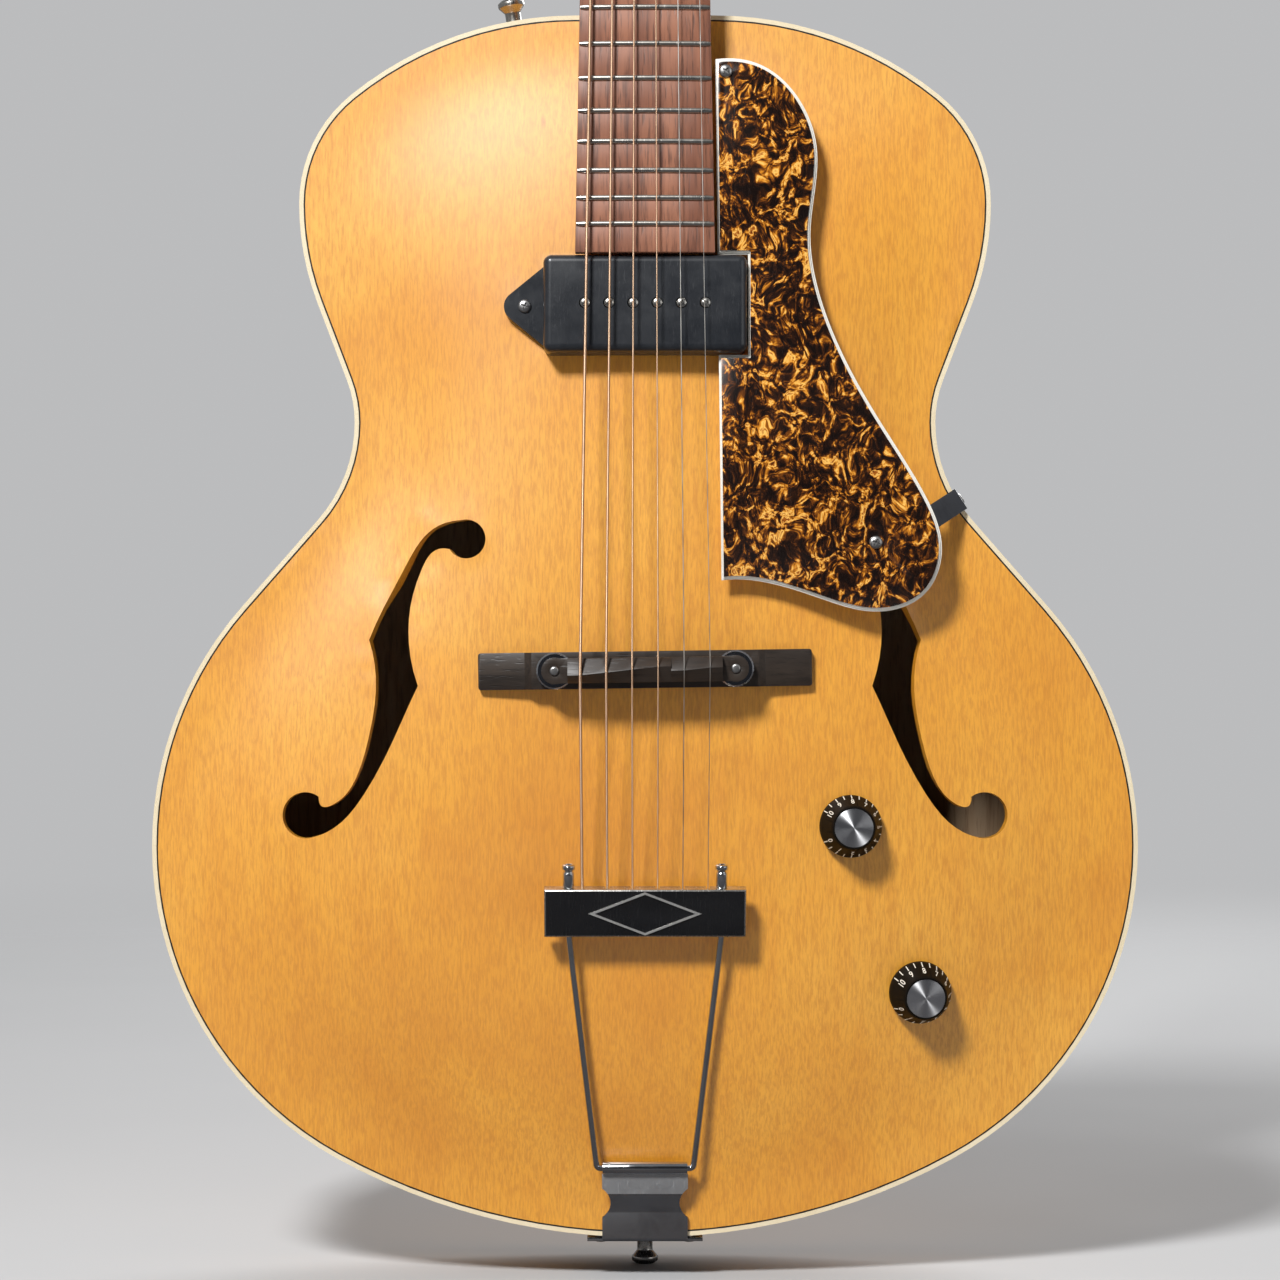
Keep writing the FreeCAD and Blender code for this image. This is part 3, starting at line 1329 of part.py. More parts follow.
magnet_top = f"{roof} - bobbin_height - glue_gap"
magnet = new_body("magnet_pattern")
magnet_share = 0.6
magnet_plan = rectangle(f"pole_spread * {magnet_share}", f"bobbin_core * {magnet_share}")
pad(magnet, outline_sketch(magnet, "XY_Plane", magnet_plan, magnet_top), "magnet_height", backwards=True)
base = new_body("pickup_baseplate")
base_level = f"{magnet_top} - magnet_height - glue_gap"
base_plan = rectangle(f"{inner_length} * 0.5 - seat_gap", f"{inner_width} * 0.5 - seat_gap")
pad(base, outline_sketch(base, "XY_Plane", base_plan, base_level), "baseplate_thickness", backwards=True)
base_holes = circle_sketch(base, "XY_Plane", pole_circles(f"{pole_shank} + glue_gap"), base_level)
pocket(base, base_holes, "baseplate_thickness * 2")
base.Placement = pickup_frame
keep("pickup_baseplate", base)
pole_dome_share = 0.7
pole_slot_shares = (1.5, 0.18, 0.6)
pole = turned("pole_pattern", [
    ("0", "pole_rise - pole_length"), (pole_shank, "pole_rise - pole_length"),
    (pole_shank, "pole_rise - pole_head_height"), ("pole_radius", "pole_rise - pole_head_height"),
    ("pole_radius", f"pole_rise * {pole_dome_share}"), (pole_shank, "pole_rise"), ("0", "pole_rise")])
pole_slot = rectangle(f"pole_radius * {pole_slot_shares[0]}", f"pole_radius * {pole_slot_shares[1]}")
pocket(pole, outline_sketch(pole, "XY_Plane", pole_slot, "pole_rise"), f"pole_rise * {pole_slot_shares[2]}")
doc.recompute()
magnet_offset = size.pole_radius + size.bobbin_core * magnet_share
magnet_frames = [pickup_frame.multiply(Placement(Y * side * magnet_offset, Rotation())) for side in (-1, 1)]
shaped("pickup_magnets", group(placed(magnet.Shape, frame) for frame in magnet_frames))
pole_frames = [pickup_frame.multiply(Placement(
    Vector(spaced(size.pole_spread, number, pole_count), 0, size.pickup_rise), Rotation()))
    for number in range(pole_count)]
shaped("pickup_pole_screws", group(placed(pole.Shape, frame) for frame in pole_frames))


# Pickguard: three steps of laminate, cut round the pickup, on a standoff and a bent bracket

guard_top = size.body_length - size.guard_drop
guard_frame = facing(Vector(size.guard_inset, front - size.guard_height, guard_top), size.guard_pitch)
guard_shares = ((0, 0), (0.283, 0.031), (0.448, 0.155), (0.421, 0.313), (0.469, 0.438), (0.744, 0.667),
                (0.924, 0.788), (1.0, 0.887), (0.924, 0.968), (0.726, 1.0), (0.473, 0.978), (0.202, 0.946),
                (0.025, 0.944))


def on_guard(shares, level):
    """A point over the guard's plane from its shares across and down."""
    return Vector(shares[0] * size.guard_width, -shares[1] * size.guard_length, level)


guard_spots = [on_guard(shares, 0) for shares in guard_shares]
guard_curve = curve(guard_spots).Curve


def guard_layer(inset, low, thickness):
    """One step of the guard's laminate, drawn in from the outline and notched for the pickup."""
    spots = [guard_spots[0] + (X - Y) * inset]
    for spot in guard_spots[1:-1]:
        onward = guard_curve.tangent(guard_curve.parameter(spot))[0]
        spots.append(spot + onward.cross(Z) * inset)
    spots.append(guard_spots[-1] + (X + Y) * inset)
    wire = Part.Wire([curve(spots), Part.LineSegment(spots[-1], spots[0]).toShape()])
    layer = Part.Face(wire).translated(Z * low).extrude(Z * thickness)
    notch_room = 2 * (size.cover_gap + inset)
    notch = pickup_box(size.pickup_length + notch_room, size.pickup_width + notch_room, -far / 4, far / 4)
    return placed(layer, guard_frame).cut(notch)


def guard_level(up):
    """How far the guard's underside stands before the front edge at a height up the body."""
    return size.guard_height + (guard_top - up) * math.tan(math.radians(size.guard_pitch))


guard_screw_shares = ((0.044, 0.023), (0.706, 0.876))
guard_face_level = size.guard_ply_thickness + size.guard_face_thickness
guard_screws = [guard_frame.multiply(Placement(on_guard(shares, guard_face_level), Rotation()))
                for shares in guard_screw_shares]
guard_holes = [pilot(frame) for frame in guard_screws]
half_ply = size.guard_ply_thickness / 2
ply = guard_layer(0, 0, half_ply).fuse(guard_layer(size.guard_bevel, half_ply, half_ply))
shaped("pickguard_ply", ply.cut(guard_holes))
face = guard_layer(size.guard_bevel * 2, size.guard_ply_thickness, size.guard_face_thickness)
shaped("pickguard_face", face.cut(guard_holes))

standoff_top = guard_frame.multiply(Placement(on_guard(guard_screw_shares[0], 0), Rotation()))
standoff = placed(rod(HERE, Z * -1, size.standoff_radius, size.guard_height * 3 / 2), standoff_top)
standoff = standoff.cut([behind_top(size.seat_gap), guard_holes[0]])


def bracket_spot(outward, level):
    return bracket_foot + bracket_way * outward + Y * (front - level)


def under_guard(outward):
    """A point of the bracket's back face below the guard."""
    up = bracket_foot.z + bracket_way.z * outward
    return bracket_spot(outward, guard_level(up) - size.bracket_thickness - size.seat_gap * 2)


bracket_shoulder_share = 0.35
bracket_points = [under_guard(-size.bracket_reach), under_guard(-size.bracket_reach * bracket_shoulder_share),
                  bracket_spot(size.seat_gap, size.seat_gap * 2),
                  bracket_spot(size.seat_gap, -size.bracket_drop)]
bracket_path = bent_path(bracket_points, [size.bracket_bend, size.seat_gap])
bracket_side = bracket_way.cross(Y)
bracket = strip(bracket_path, size.bracket_thickness).translated(bracket_side * (-size.bracket_width / 2))
bracket = bracket.extrude(bracket_side * size.bracket_width).cut([guard_holes[1], pilot(rim_screw)])
shaped("pickguard_supports", group([standoff, bracket]))


# Bridge: a footed base, two posts, two thumbwheels and the compensated saddle they lift

base_body = new_body("bridge_base_form")
relief = "top_arch + bridge_relief_rise"
half_base = [("bridge_relief_length * 0.5", relief),
             ("bridge_relief_length * 0.5 + bridge_relief_rise * 2", "0"),
             ("bridge_base_length * 0.5", "0"),
             ("bridge_base_length * 0.5", "top_arch + bridge_end_rise * 0.5"),
             ("bridge_pad_length * 0.5 + bridge_relief_rise", "top_arch + bridge_end_rise"),
             ("bridge_pad_length * 0.5", "top_arch + bridge_base_rise")]
base_profile = half_base + [(f"-({across})", up) for across, up in reversed(half_base)]
pad(base_body, outline_sketch(base_body, "XZ_Plane", base_profile), "bridge_base_depth", both_ways=True)
rounded(base_body, "bridge_end_round", lambda edge: upright(edge) and
        abs(edge.CenterOfMass.x) > size.bridge_base_length / 2 - size.seat_gap)
post_holes = [(f"{side} * bridge_post_spacing * 0.5", "0", "bridge_post_radius + glue_gap")
              for side in (-1, 1)]
base_top = "top_arch + bridge_base_rise"
pocket(base_body, circle_sketch(base_body, "XY_Plane", post_holes, base_top), base_top)
doc.recompute()
shaped("bridge_base", placed(base_body.Shape, bridge_frame).cut(behind_top(size.seat_gap)))

wheel_low = "top_arch + bridge_base_rise + thumbwheel_lift"
wheel_top = size.top_arch + size.bridge_base_rise + size.thumbwheel_lift + size.thumbwheel_thickness
saddle_low = wheel_top + size.running_gap
post_low = "top_arch + seat_gap"
post_top = f"{wheel_low} + thumbwheel_thickness + saddle_lug_rise + seat_gap * 3"
post_tip = f"{post_top} + seat_gap * 2"
post_tip_share = 0.7
bridge_post = turned("bridge_post_pattern", [
    ("0", post_low), ("bridge_post_radius", post_low), ("bridge_post_radius", post_top),
    (f"bridge_post_radius * {post_tip_share}", post_tip), ("0", post_tip)])
doc.recompute()
post_places = [bridge_frame.multiply(Placement(X * (side * size.bridge_post_spacing / 2), Rotation()))
               for side in (-1, 1)]
shaped("bridge_posts", group(placed(bridge_post.Shape, frame) for frame in post_places))
knurl_width_share = 1.6
for label, frame in zip(("thumbwheel_bass", "thumbwheel_treble"), post_places):
    wheel_bore = "bridge_post_radius + running_gap"
    wheel = turned(label, [
        (wheel_bore, wheel_low), ("thumbwheel_radius - knurl_depth * 2", wheel_low),
        ("thumbwheel_radius", f"{wheel_low} + knurl_depth * 2"),
        ("thumbwheel_radius", f"{wheel_low} + thumbwheel_thickness - knurl_depth * 2"),
        ("thumbwheel_radius - knurl_depth * 2", f"{wheel_low} + thumbwheel_thickness"),
        (wheel_bore, f"{wheel_low} + thumbwheel_thickness")])
    valley = outline_sketch(wheel, "XY_Plane", [
        ("thumbwheel_radius - knurl_depth", "0"),
        ("thumbwheel_radius + knurl_depth", f"-knurl_depth * {knurl_width_share}"),
        ("thumbwheel_radius + knurl_depth", f"knurl_depth * {knurl_width_share}")],
        f"{wheel_low} + thumbwheel_thickness")
    groove = pocket(wheel, valley, "thumbwheel_thickness * 2")
    knurl = wheel.newObject("PartDesign::PolarPattern", label + "_knurl")
    knurl.Originals = [groove]
    knurl.Axis = (origin_plane(wheel, "Z_Axis"), [""])
    knurl.Angle = full_circle
    knurl.Occurrences = knurl_count
    wheel.Tip = knurl
    wheel.Placement = frame
    keep(label, wheel)

crests = []
for number in range(string_count):
    crest = bridge_frame.inverse().multVec(saddle_crossing(number))
    crests.append(crest - Z * (string_radii[number] + size.glue_gap))


def saddle_section(across, crest):
    """A section across the saddle, with its ridge where the strings cross it."""
    half = size.saddle_depth / 2
    shoulder = crest.z - size.saddle_shoulder
    corners = ((-half, saddle_low), (half, saddle_low), (half, shoulder), (crest.y, crest.z),
               (-half, shoulder))
    return loop([Vector(across, up, out) for up, out in corners])


def saddle_run(first, last, start, end):
    """The saddle's run under a group of strings, from one place across to another."""
    middle = [saddle_section(crests[n].x, crests[n]) for n in range(first, last + 1)]
    sections = [saddle_section(start, crests[first])] + middle + [saddle_section(end, crests[last])]
    return Part.makeLoft(sections, True, True)


step_across = (crests[wound_count - 1].x + crests[wound_count].x) / 2
saddle = saddle_run(0, wound_count - 1, -size.saddle_length / 2, step_across)
saddle = saddle.fuse(saddle_run(wound_count, string_count - 1, step_across, size.saddle_length / 2))
lug_spots = [Vector(side * size.bridge_post_spacing / 2, 0, saddle_low) for side in (-1, 1)]
lug_reach = Vector(size.saddle_lug_radius, size.saddle_depth, 0)
end_room = [block(spot - lug_reach + Z * size.saddle_lug_rise, spot + lug_reach + Z * far)
            for spot in lug_spots]
lugs = [rod(spot, Z, size.saddle_lug_radius, size.saddle_lug_rise) for spot in lug_spots]
saddle = saddle.cut(end_room).fuse(lugs)
saddle = saddle.cut([rod(spot - Z * size.overrun, Z, size.bridge_post_radius + size.running_gap, far)
                     for spot in lug_spots])
shaped("bridge_saddle", saddle, bridge_frame)


# Tailpiece: a hinge plate on the tail end, a bent rod in its barrel and the string bar

hinge_bore = size.rod_radius + size.running_gap


def hinge_spot(up, level):
    return Vector(0, front - level, up)


# The plate leaves the barrel, steps down to the edge of the top and folds over the tail end
plate_shares = ((0.93, 0.86), (0.63, 0.64), (0.38, 0.11))
hinge_points = [hinge_spot(up * size.barrel_place, level * size.barrel_height) for up, level in plate_shares]
hinge_points += [hinge_spot(-size.seat_gap, size.seat_gap),
                 hinge_spot(-size.seat_gap, -size.hinge_flange_depth)]
fold_bends = [size.hinge_plate_bend, size.hinge_plate_bend, size.seat_gap * 2]
plate_edges = bent_path(hinge_points, fold_bends)
plate_strip = strip(plate_edges, size.hinge_plate_thickness)


def widened(half_width):
    return plate_strip.translated(X * -half_width).extrude(X * 2 * half_width)


upper_space = block(Vector(-far, -far, -size.overrun), Vector(far, front + size.seat_gap, far))
upper_plate = widened(size.hinge_plate_width / 2).common(upper_space)
flange = widened(size.hinge_flange_width / 2).cut(upper_space)
barrel_tube = rod(barrel - X * size.barrel_length / 2, X, hinge_bore + size.barrel_wall, size.barrel_length)
waist_radius = size.barrel_place / 4
waist_across = size.hinge_plate_width / 2 + waist_radius - size.hinge_plate_waist
hinge_cuts = [rod(Vector(side * waist_across, -far / 2, size.barrel_place / 2), Y, waist_radius, far)
              for side in (-1, 1)]
hinge_cuts.append(rod(barrel - X * size.barrel_length, X, hinge_bore, size.barrel_length * 2))
hinge_cuts += tail_holes
shaped("tailpiece_hinge_plate", upper_plate.fuse([flange, barrel_tube]).cut(hinge_cuts))

bar_foot = size.bar_place - size.bar_width / 2
bar_head = size.bar_place + size.bar_width / 2
rod_end_share = 0.9
rod_top = bar_head + size.rod_nut_height * rod_end_share
half_rod = [Vector(size.rod_spread / 2, rod_top, 0), Vector(size.rod_spread / 2, bar_foot, 0),
            Vector(size.rod_foot_spread / 2, 0, 0)]
rod_points = half_rod + [Vector(-spot.x, spot.y, 0) for spot in reversed(half_rod)]
rod_bends = [size.rod_sweep, size.rod_bend, size.rod_bend, size.rod_sweep]
shaped("tailpiece_rod", tube(bent_path(rod_points, rod_bends), size.rod_radius), tail_frame)

# The bar is an open channel: a front plate and two flanges that the rod and the strings pass through
bar = new_body("tailpiece_bar_form")
bar_front = "string_ball + seat_gap + bar_wall"
bar_low = "string_ball + seat_gap + bar_wall - bar_depth"
bar_half = "bar_width * 0.5"
bar_inside = "bar_width * 0.5 - bar_wall"
channel_corners = [
    (f"bar_place - {bar_half}", bar_low), (f"bar_place - ({bar_inside})", bar_low),
    (f"bar_place - ({bar_inside})", "string_ball + seat_gap"),
    (f"bar_place + {bar_inside}", "string_ball + seat_gap"),
    (f"bar_place + {bar_inside}", bar_low), (f"bar_place + {bar_half}", bar_low),
    (f"bar_place + {bar_half}", bar_front), (f"bar_place - {bar_half}", bar_front)]
pad(bar, outline_sketch(bar, "YZ_Plane", channel_corners), "bar_length", both_ways=True)
bar_floor = size.string_ball + size.seat_gap
rounded(bar, "bar_round", lambda edge: edge.BoundBox.ZMin > bar_floor + size.bar_wall / 2)
doc.recompute()
slot_half = size.string_bass_radius + size.seat_gap
bar_cuts = []
for number in range(string_count):
    across = spaced(size.string_tail_spread, number, string_count)
    bar_cuts.append(block(Vector(across - slot_half, size.bar_place, -size.bar_depth),
                          Vector(across + slot_half, bar_head + size.overrun, slot_half)))
for side in (-1, 1):
    bar_cuts.append(rod(X * (side * size.rod_spread / 2), Y, size.rod_radius + size.glue_gap, far))
diamond_level = bar_floor + size.bar_wall


def diamond(half_length, half_width):
    spots = (X * half_length, Y * half_width, X * -half_length, Y * -half_width)
    return Part.Face(loop([spot + Vector(0, size.bar_place, diamond_level) for spot in spots]))


diamond_half = size.diamond_length / 2
diamond_rise = size.bar_width / 2 - size.bar_round
shrink = size.diamond_line * math.hypot(diamond_half, diamond_rise)
ridge = diamond(diamond_half, diamond_rise).cut(diamond(diamond_half - shrink / diamond_rise,
                                                         diamond_rise - shrink / diamond_half))
ridge = ridge.extrude(Z * size.diamond_rise)
shaped("tailpiece_bar", bar.Shape.cut(bar_cuts).fuse(ridge), tail_frame)

rod_nut_shares = ((0.86, 0), (0.86, 0.64), (0.7, 0.68), (0.7, 0.75), (1, 0.79), (1, 0.94), (0.75, 1))
rod_nut_profile = [(f"rod_nut_radius * {out}", f"rod_nut_height * {up}") for out, up in rod_nut_shares]
rod_nut_bore = "rod_radius + glue_gap"
rod_nut_profile = [(rod_nut_bore, "0")] + rod_nut_profile + [(rod_nut_bore, "rod_nut_height")]
rod_nut = turned("rod_nut_pattern", rod_nut_profile)
doc.recompute()
nut_frames = [tail_frame.multiply(Placement(Vector(side * size.rod_spread / 2, bar_head + size.glue_gap, 0),
                                            Rotation(X, -right_angle))) for side in (-1, 1)]
shaped("tailpiece_nuts", group(placed(rod_nut.Shape, frame) for frame in nut_frames))


# Controls: each potentiometer is clamped through the top and its shaft carries a knob

pot_low = "-(plate_thickness + seat_gap * 2)"
pot_floor = f"{pot_low} - pot_depth"
pot_nut_top = "seat_gap * 2 + pot_nut_height"
shaft_floor = f"{pot_floor} + shaft_radius"
shaft_bore = "shaft_radius + running_gap"
pot = turned("potentiometer_pattern", [
    (shaft_bore, "pot_bushing_rise"), ("pot_bushing_radius", "pot_bushing_rise"),
    ("pot_bushing_radius", pot_nut_top), ("pot_nut_radius", pot_nut_top), ("pot_nut_radius", "seat_gap * 2"),
    ("pot_bushing_radius", "seat_gap * 2"), ("pot_bushing_radius", pot_low), ("pot_radius", pot_low),
    ("pot_radius", pot_floor), ("0", pot_floor), ("0", shaft_floor), (shaft_bore, shaft_floor)])
doc.recompute()
control_frames = {"volume": volume_frame, "tone": tone_frame}
shaped("potentiometers", group(placed(pot.Shape, frame) for frame in control_frames.values()))
knob_top = "knob_clearance + knob_height"
cap_seat = "knob_clearance + knob_height - knob_cap_thickness"
socket_top = f"{cap_seat} - knob_wall"
knob_wall_shares = (0.4, 0.3)
for word, frame in control_frames.items():
    cavity_radius = f"knob_cap_radius + knob_wall * {knob_wall_shares[0]}"
    knob = turned(f"knob_{word}", [
        (cavity_radius, "knob_clearance"), ("knob_radius", "knob_clearance"),
        ("knob_radius", "knob_clearance + knob_skirt"),
        (f"knob_cap_radius + knob_wall * {knob_wall_shares[1]}", knob_top),
        ("knob_cap_radius", knob_top), ("knob_cap_radius", cap_seat), ("0", cap_seat), ("0", socket_top),
        ("shaft_radius + glue_gap", socket_top), ("shaft_radius + glue_gap", "knob_clearance + knob_cavity"),
        (cavity_radius, "knob_clearance + knob_cavity")])
    knob.Placement = frame
    keep(f"knob_{word}", knob)
    cap = turned(f"knob_{word}_cap", [
        ("0", cap_seat), ("knob_cap_radius - glue_gap", cap_seat), ("knob_cap_radius - glue_gap", knob_top),
        ("0", f"{knob_top} + knob_cap_thickness * 0.5")])
    cap.Placement = frame
    keep(f"knob_{word}_cap", cap)
    shaft_piece = turned(f"{word}_shaft", [
        ("0", f"{shaft_floor} + seat_gap"), ("shaft_radius", f"{shaft_floor} + seat_gap"),
        ("shaft_radius", f"{socket_top} - glue_gap"), ("0", f"{socket_top} - glue_gap")])
    shaft_piece.Placement = frame
    keep(f"{word}_shaft", shaft_piece)

case_low = "-(rim_thickness + seat_gap * 4)"
case_floor = f"{case_low} - jack_case_length"
jack_shares = (0.8, 0.6)
jack = turned("output_jack", [
    ("jack_bore", "seat_gap + jack_flange_height"),
    (f"jack_flange * {jack_shares[0]}", "seat_gap + jack_flange_height"),
    ("jack_flange", f"seat_gap + jack_flange_height * {jack_shares[1]}"), ("jack_flange", "seat_gap"),
    ("jack_radius", "seat_gap"), ("jack_radius", case_low), ("jack_case_radius", case_low),
    ("jack_case_radius", case_floor), ("0", case_floor), ("0", f"{case_low} - jack_bore_depth"),
    ("jack_bore", f"{case_low} - jack_bore_depth")])
jack.Placement = jack_frame
keep("output_jack", jack)


# Leads inside the body: pickup to volume, volume to tone, tone to jack

def lead(points):
    """A cord along points, each turn as wide as the shorter run beside it lets it be."""
    bends = []
    for before, corner, after in zip(points, points[1:], points[2:]):
        turn = (corner - before).getAngle(after - corner)
        run = min((corner - before).Length, (after - corner).Length)
        bends.append(run * lead_turn_share / math.tan(turn / 2))
    edges = bent_path(points, bends)
    cord = tube(edges, size.lead_radius)
    length = sum(edge.Length for edge in edges)
    share = cord.Volume / (math.pi * size.lead_radius ** 2 * length)
    print(f"lead: length {length:.1f}, volume share {share:.4f}, least turn radius {min(bends):.1f}")
    return cord


lead_turn_share = 0.45
pot_back = -(size.plate_thickness + size.seat_gap * 3 + size.pot_depth)
base_back = size.pickup_rise - size.pickup_wall - size.bobbin_height - size.magnet_height
base_back -= size.baseplate_thickness + size.seat_gap * 2
jack_back = -(size.rim_thickness + size.seat_gap * 5 + size.jack_case_length)
lug_share = 0.6
lug = size.pot_radius * lug_share


def lead_spots(start_frame, start, end_frame, end, stand, count):
    """Points that stand off both ends and share out the way between them, sagging to the middle."""
    first = start_frame.multVec(start)
    last = end_frame.multVec(end)
    leave = start_frame.multVec(start - Z * stand)
    arrive = end_frame.multVec(end - Z * stand)
    between = [leave + (arrive - leave) * (k / count) + Y * (stand * math.sin(half_turn * k / count))
               for k in range(1, count)]
    return [first, leave] + between + [arrive, last]


lead_stand = size.rim_depth / 4
pickup_end = Vector(size.pole_spread * magnet_share, -size.bobbin_core, base_back)
upper_lug = Vector(0, lug, pot_back)
lower_lug = Vector(0, -lug, pot_back)
jack_end = Vector(0, 0, jack_back)
# Each lead's two ends and into how many runs the way between them is shared
lead_ends = ((pickup_frame, pickup_end, volume_frame, upper_lug, 5),
             (volume_frame, lower_lug, tone_frame, upper_lug, 2),
             (tone_frame, lower_lug, jack_frame, jack_end, 2))
leads = [lead(lead_spots(*ends[:4], lead_stand, ends[4])) for ends in lead_ends]
shaped("leads", group(leads))


# Strap buttons and all the screws

pin_point_share = 0.85
pin_crown_share = 0.7
pin_shares = (("pin_base_radius", 0), ("pin_base_radius", 0.1), ("pin_neck_radius", 0.3),
              ("pin_neck_radius", 0.62), ("pin_head_radius", 0.8), ("pin_head_radius", 0.92))
pin_profile = [(radius, f"pin_height * {up}") for radius, up in pin_shares]
button = turned("strap_button_pattern", [
    ("0", "-pin_shank_length"), ("pin_shank_radius", f"-pin_shank_length * {pin_point_share}"),
    ("pin_shank_radius", "0")] + pin_profile + [
    (f"pin_head_radius * {pin_crown_share}", "pin_height"), ("0", "pin_height")])
doc.recompute()
shaped("strap_buttons", group(placed(button.Shape, frame) for frame in (end_pin_frame, shoulder_pin_frame)))
screw_frames = ear_screws + guard_screws + [rim_screw] + hinge_screws + cover_screws
shaped("mounting_screws", group(placed(screw.Shape, frame) for frame in screw_frames))


# Every piece is checked before it is written
doc.recompute()
for thing in doc.Objects:
    if {"Invalid", "Error"} & set(thing.State):
        raise RuntimeError(f"{thing.Label}: {thing.State}")
os.makedirs("parts", exist_ok=True)
for label, thing in nodes.items():
    if thing.Shape.isNull() or not thing.Shape.isValid():
        raise RuntimeError(f"{label} has no sound shape")
for label, thing in nodes.items():
    thing.Shape.exportStep(f"parts/{label}.step")
print(len(nodes), "pieces written")
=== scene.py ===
"""Archtop guitar: the finish of every piece, set on the fixed frame of its solids. Lengths are in metres."""
import json
import math

import bmesh
import bpy
import numpy as np
from mathutils import Matrix, Vector, geometry, kdtree
from mathutils.bvhtree import BVHTree

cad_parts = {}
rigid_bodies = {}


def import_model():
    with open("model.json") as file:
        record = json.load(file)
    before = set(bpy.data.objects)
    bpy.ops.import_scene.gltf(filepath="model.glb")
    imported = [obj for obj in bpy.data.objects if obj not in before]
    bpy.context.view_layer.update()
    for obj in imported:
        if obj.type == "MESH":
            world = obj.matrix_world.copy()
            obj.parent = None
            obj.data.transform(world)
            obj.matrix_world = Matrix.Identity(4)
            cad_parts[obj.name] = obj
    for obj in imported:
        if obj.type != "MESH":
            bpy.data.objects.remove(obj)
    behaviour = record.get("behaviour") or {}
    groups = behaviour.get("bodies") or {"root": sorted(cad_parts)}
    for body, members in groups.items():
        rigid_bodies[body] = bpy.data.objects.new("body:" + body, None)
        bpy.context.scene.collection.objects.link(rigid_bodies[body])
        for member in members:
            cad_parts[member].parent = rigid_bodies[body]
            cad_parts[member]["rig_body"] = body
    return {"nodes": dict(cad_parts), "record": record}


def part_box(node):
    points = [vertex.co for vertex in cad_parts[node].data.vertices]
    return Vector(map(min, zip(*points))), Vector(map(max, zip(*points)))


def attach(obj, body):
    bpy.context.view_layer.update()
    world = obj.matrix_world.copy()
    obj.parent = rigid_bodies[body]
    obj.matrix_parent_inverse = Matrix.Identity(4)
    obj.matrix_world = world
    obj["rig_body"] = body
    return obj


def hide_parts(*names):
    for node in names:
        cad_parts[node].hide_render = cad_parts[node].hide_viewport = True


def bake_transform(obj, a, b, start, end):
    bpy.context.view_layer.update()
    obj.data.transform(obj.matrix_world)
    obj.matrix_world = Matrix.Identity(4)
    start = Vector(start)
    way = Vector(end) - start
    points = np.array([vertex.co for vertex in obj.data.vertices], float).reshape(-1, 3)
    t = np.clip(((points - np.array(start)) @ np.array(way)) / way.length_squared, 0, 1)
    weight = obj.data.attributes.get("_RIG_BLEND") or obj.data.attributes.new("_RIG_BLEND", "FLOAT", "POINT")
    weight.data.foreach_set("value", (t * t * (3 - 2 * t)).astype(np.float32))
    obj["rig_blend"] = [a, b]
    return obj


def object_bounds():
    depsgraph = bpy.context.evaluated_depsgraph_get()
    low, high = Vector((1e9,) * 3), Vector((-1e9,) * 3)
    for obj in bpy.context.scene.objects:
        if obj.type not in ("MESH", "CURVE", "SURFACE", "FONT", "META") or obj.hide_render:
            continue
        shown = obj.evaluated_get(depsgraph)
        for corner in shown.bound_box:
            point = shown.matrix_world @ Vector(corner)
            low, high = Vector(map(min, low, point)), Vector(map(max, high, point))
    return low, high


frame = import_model()
cad_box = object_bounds()
solids = frame["nodes"]
slot_of = {part["node"]: part["material_slot"] for part in frame["record"]["subparts"]}
scene = bpy.context.scene
scene.view_settings.view_transform = "Standard"
TURN = 2 * math.pi
JOIN = 1e-6


def linked(name, data):
    """A new object in the scene."""
    piece = bpy.data.objects.new(name, data)
    scene.collection.objects.link(piece)
    return piece


def meshed(name, shape):
    """A worked shape as a mesh."""
    mesh = bpy.data.meshes.new(name)
    shape.to_mesh(mesh)
    shape.free()
    return mesh


# Places that several pieces share

def placed_on(origin, upward, outward):
    """The matrix of a flat place: x to the treble side, y along it, z out of it."""
    upward, outward = Vector(upward).normalized(), Vector(outward).normalized()
    across = upward.cross(outward)
    return Matrix.Translation(origin) @ Matrix((across, upward, outward)).transposed().to_4x4()


NECK = placed_on((0, -0.0511, 0.5294), (0, 0.0593, 0.9982), (0, -0.9982, 0.0593))
HEAD = placed_on((0, -0.03005, 0.8837), (0, 0.2823, 0.9593), (0, -0.9593, 0.2823))
TAIL = placed_on((0, -0.0485, 0.0315), (0, -0.1395, 0.9902), (0, -0.9902, -0.1395))
KNOBS = {
    "volume": placed_on((0.088, -0.05273, 0.179), (0, -0.0067, 1), (0.0496, -0.9987, -0.0067)),
    "tone": placed_on((0.118, -0.04713, 0.1075), (0.0115, -0.1, 0.994), (0.1118, -0.9886, -0.1009)),
}


# Camera, lamps and the room

camera_data = bpy.data.cameras.new("front_camera")
camera_data.lens = 103.86
camera_data.sensor_width = 36
camera = linked("front_camera", camera_data)
camera.location = (-0.00217, -1.638, 0.2588)
camera.rotation_euler = (math.radians(90), 0, 0)
scene.camera = camera


def soft_lamp(name, place, aim, width, power):
    """A square studio lamp that looks from its place at a point."""
    lamp = bpy.data.lights.new(name, "AREA")
    lamp.size = width
    lamp.energy = power
    stand = linked(name, lamp)
    stand.location = place
    stand.rotation_euler = (Vector(aim) - Vector(place)).to_track_quat("-Z", "Y").to_euler()


